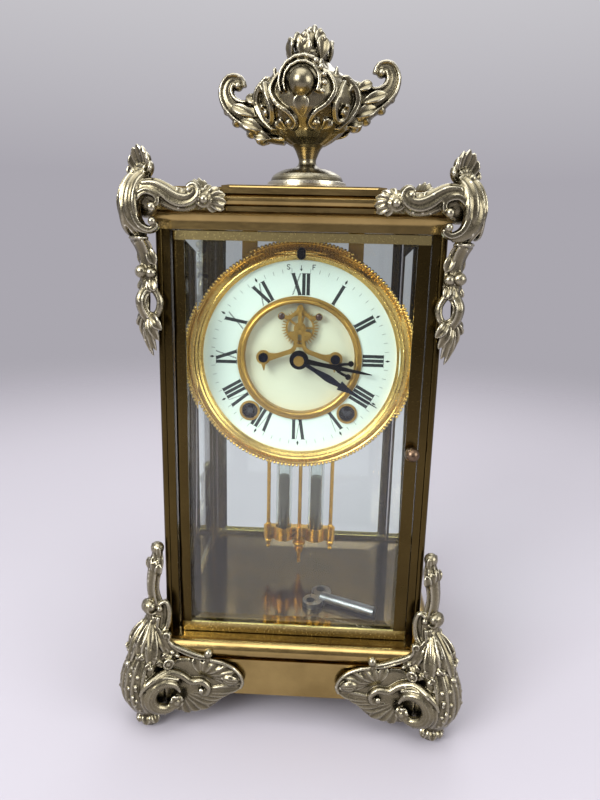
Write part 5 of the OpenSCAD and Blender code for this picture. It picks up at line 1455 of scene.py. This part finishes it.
@dataclass
class Studio:
    """Pale floor and backdrop, soft lights and the camera at the photograph's viewing angle."""

    eye_mm: tuple[float, float, float] = (14.8, -371.6, 261.6)
    tilt_deg: tuple[float, float, float] = (13.56, 2.37, 1.91)
    focal_px: float = 627.0
    frame_px: float = 800.0
    sensor_mm: float = 36.0
    near_m: float = 0.01
    floor: str = "#A8A4AC"
    floor_m: float = 1.3
    floor_sides: int = 48
    fibre_mm: float = 2.0
    fibre_high_mm: float = 0.1
    wall: str = "#AAA7AF"
    ceiling: str = "#FFFFFF"
    behind_camera: str = "#86838A"
    aim_m: tuple[float, float, float] = (0.0, 0.0, 0.19)

    # Name, place in metres, side in metres and power in watts
    LAMPS = (("ceiling_softbox", (-0.1, -0.4, 1.35), 1.1, 12.0),
             ("key_softbox", (-0.8, -1.0, 0.8), 0.7, 23.0),
             ("fill_softbox", (1.1, -0.7, 0.6), 0.8, 11.0),
             ("back_softbox", (0.2, 1.0, 1.2), 0.8, 6.0))

    def camera(self) -> None:
        """Sets the camera where the photograph was taken from."""
        lens = bpy.data.cameras.new("camera")
        lens.sensor_fit = "AUTO"
        lens.sensor_width = self.sensor_mm
        lens.lens = self.sensor_mm * self.focal_px / self.frame_px
        lens.clip_start = self.near_m
        eye = bpy.data.objects.new("camera", lens)
        bpy.context.scene.collection.objects.link(eye)
        turn = Euler([math.radians(v) for v in self.tilt_deg], "XYZ").to_matrix()
        rows = turn @ Matrix(((1, 0, 0), (0, 0, -1), (0, 1, 0)))
        axes = Matrix((rows[0], -Vector(rows[1]), -Vector(rows[2]))).transposed()
        eye.matrix_world = Matrix.Translation(Vector(self.eye_mm) * MM) @ axes.to_4x4()
        bpy.context.scene.camera = eye

    def backdrop(self) -> None:
        """Makes the round floor, which fades into the room at its edge."""
        made, tree = new_material("pale_studio_paper")
        place = add_node(tree, "TexCoord")
        fibre = add_node(tree, "TexNoise", {"Scale": 1 / (self.fibre_mm * MM), "Detail": 2.0},
                         {"Vector": (place, "Object")})
        bump = add_node(tree, "Bump", {"Strength": 0.1, "Distance": self.fibre_high_mm * MM},
                        {"Height": (fibre, "Fac")})
        skin = add_node(tree, "BsdfPrincipled", {"Base Color": linear(self.floor), "Roughness": 0.8},
                        {"Normal": (bump, "Normal")})
        reach = add_node(tree, "VectorMath", {"operation": "LENGTH"}, {0: (place, "Object")})
        fade = add_node(tree, "MapRange",
                        {"interpolation_type": "SMOOTHSTEP", "From Min": self.floor_m * 0.35,
                         "From Max": self.floor_m}, {"Value": (reach, "Value")})
        away = add_node(tree, "BsdfTransparent")
        both = add_node(tree, "MixShader",
                        links={0: (fade, "Result"), 1: (skin, "BSDF"), 2: (away, "BSDF")})
        add_node(tree, "OutputMaterial", links={"Surface": (both, "Shader")})
        mesh = bpy.data.meshes.new("studio_floor")
        mesh.from_pydata([(self.floor_m * c, self.floor_m * s, 0) for c, s in circle(self.floor_sides)], [],
                         [tuple(range(self.floor_sides))])
        mesh.materials.append(made)
        floor = bpy.data.objects.new("studio_floor", mesh)
        bpy.context.scene.collection.objects.link(floor)

    def sky(self) -> None:
        """Makes the room: paler towards the ceiling, dimmer behind the camera."""
        world = bpy.data.worlds.new("studio")
        world.use_nodes = True
        tree = world.node_tree
        tree.nodes.clear()
        place = add_node(tree, "TexCoord")
        split = add_node(tree, "SeparateXYZ", links={"Vector": (place, "Generated")})
        rise = add_node(tree, "MapRange", {"From Min": 0.1, "From Max": 0.9}, {"Value": (split, "Z")})
        room = add_node(tree, "Mix",
                        {"data_type": "RGBA", 6: linear(self.wall), 7: linear(self.ceiling)},
                        {0: (rise, "Result")})
        near = add_node(tree, "MapRange", {"From Min": -0.1, "From Max": -0.8}, {"Value": (split, "Y")})
        dim = add_node(tree, "Mix", {"data_type": "RGBA", 7: linear(self.behind_camera)},
                       {0: (near, "Result"), 6: (room, 2)})
        light = add_node(tree, "Background", {"Strength": 1.0}, {"Color": (dim, 2)})
        add_node(tree, "OutputWorld", links={"Surface": (light, "Background")})
        bpy.context.scene.world = world

    def lamp(self, name: str, at: Point, size: float, power: float) -> None:
        """Hangs one soft light.

        Args:
            name: its name.
            at: where it hangs, in metres.
            size: its side, in metres.
            power: its power in watts.
        """
        light = bpy.data.lights.new(name, "AREA")
        light.shape = "SQUARE"
        light.size = size
        light.energy = power
        lamp = bpy.data.objects.new(name, light)
        bpy.context.scene.collection.objects.link(lamp)
        lamp.location = at
        lamp.rotation_euler = (Vector(self.aim_m) - Vector(at)).to_track_quat("-Z", "Y").to_euler()

    def build(self) -> None:
        """Sets up the camera, the floor, the room and the lights."""
        bpy.context.scene.view_settings.view_transform = "Standard"
        self.camera()
        self.backdrop()
        self.sky()
        for name, at, size, power in self.LAMPS:
            self.lamp(name, at, size, power)


def main() -> None:
    """Builds the clock's dressed pieces and the studio."""
    logging.basicConfig(level=logging.INFO, format="%(name)s: %(message)s")
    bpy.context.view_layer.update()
    Studio().build()
    corners = Corners()
    ClockNodes().build()
    CornerFeet(corners).build()
    CornerMounts(corners).build()
    Urn().build()
    DialPrint().build()
    BezelMilling().build()
    PalletStones().build()


if __name__ == "__main__":
    main()
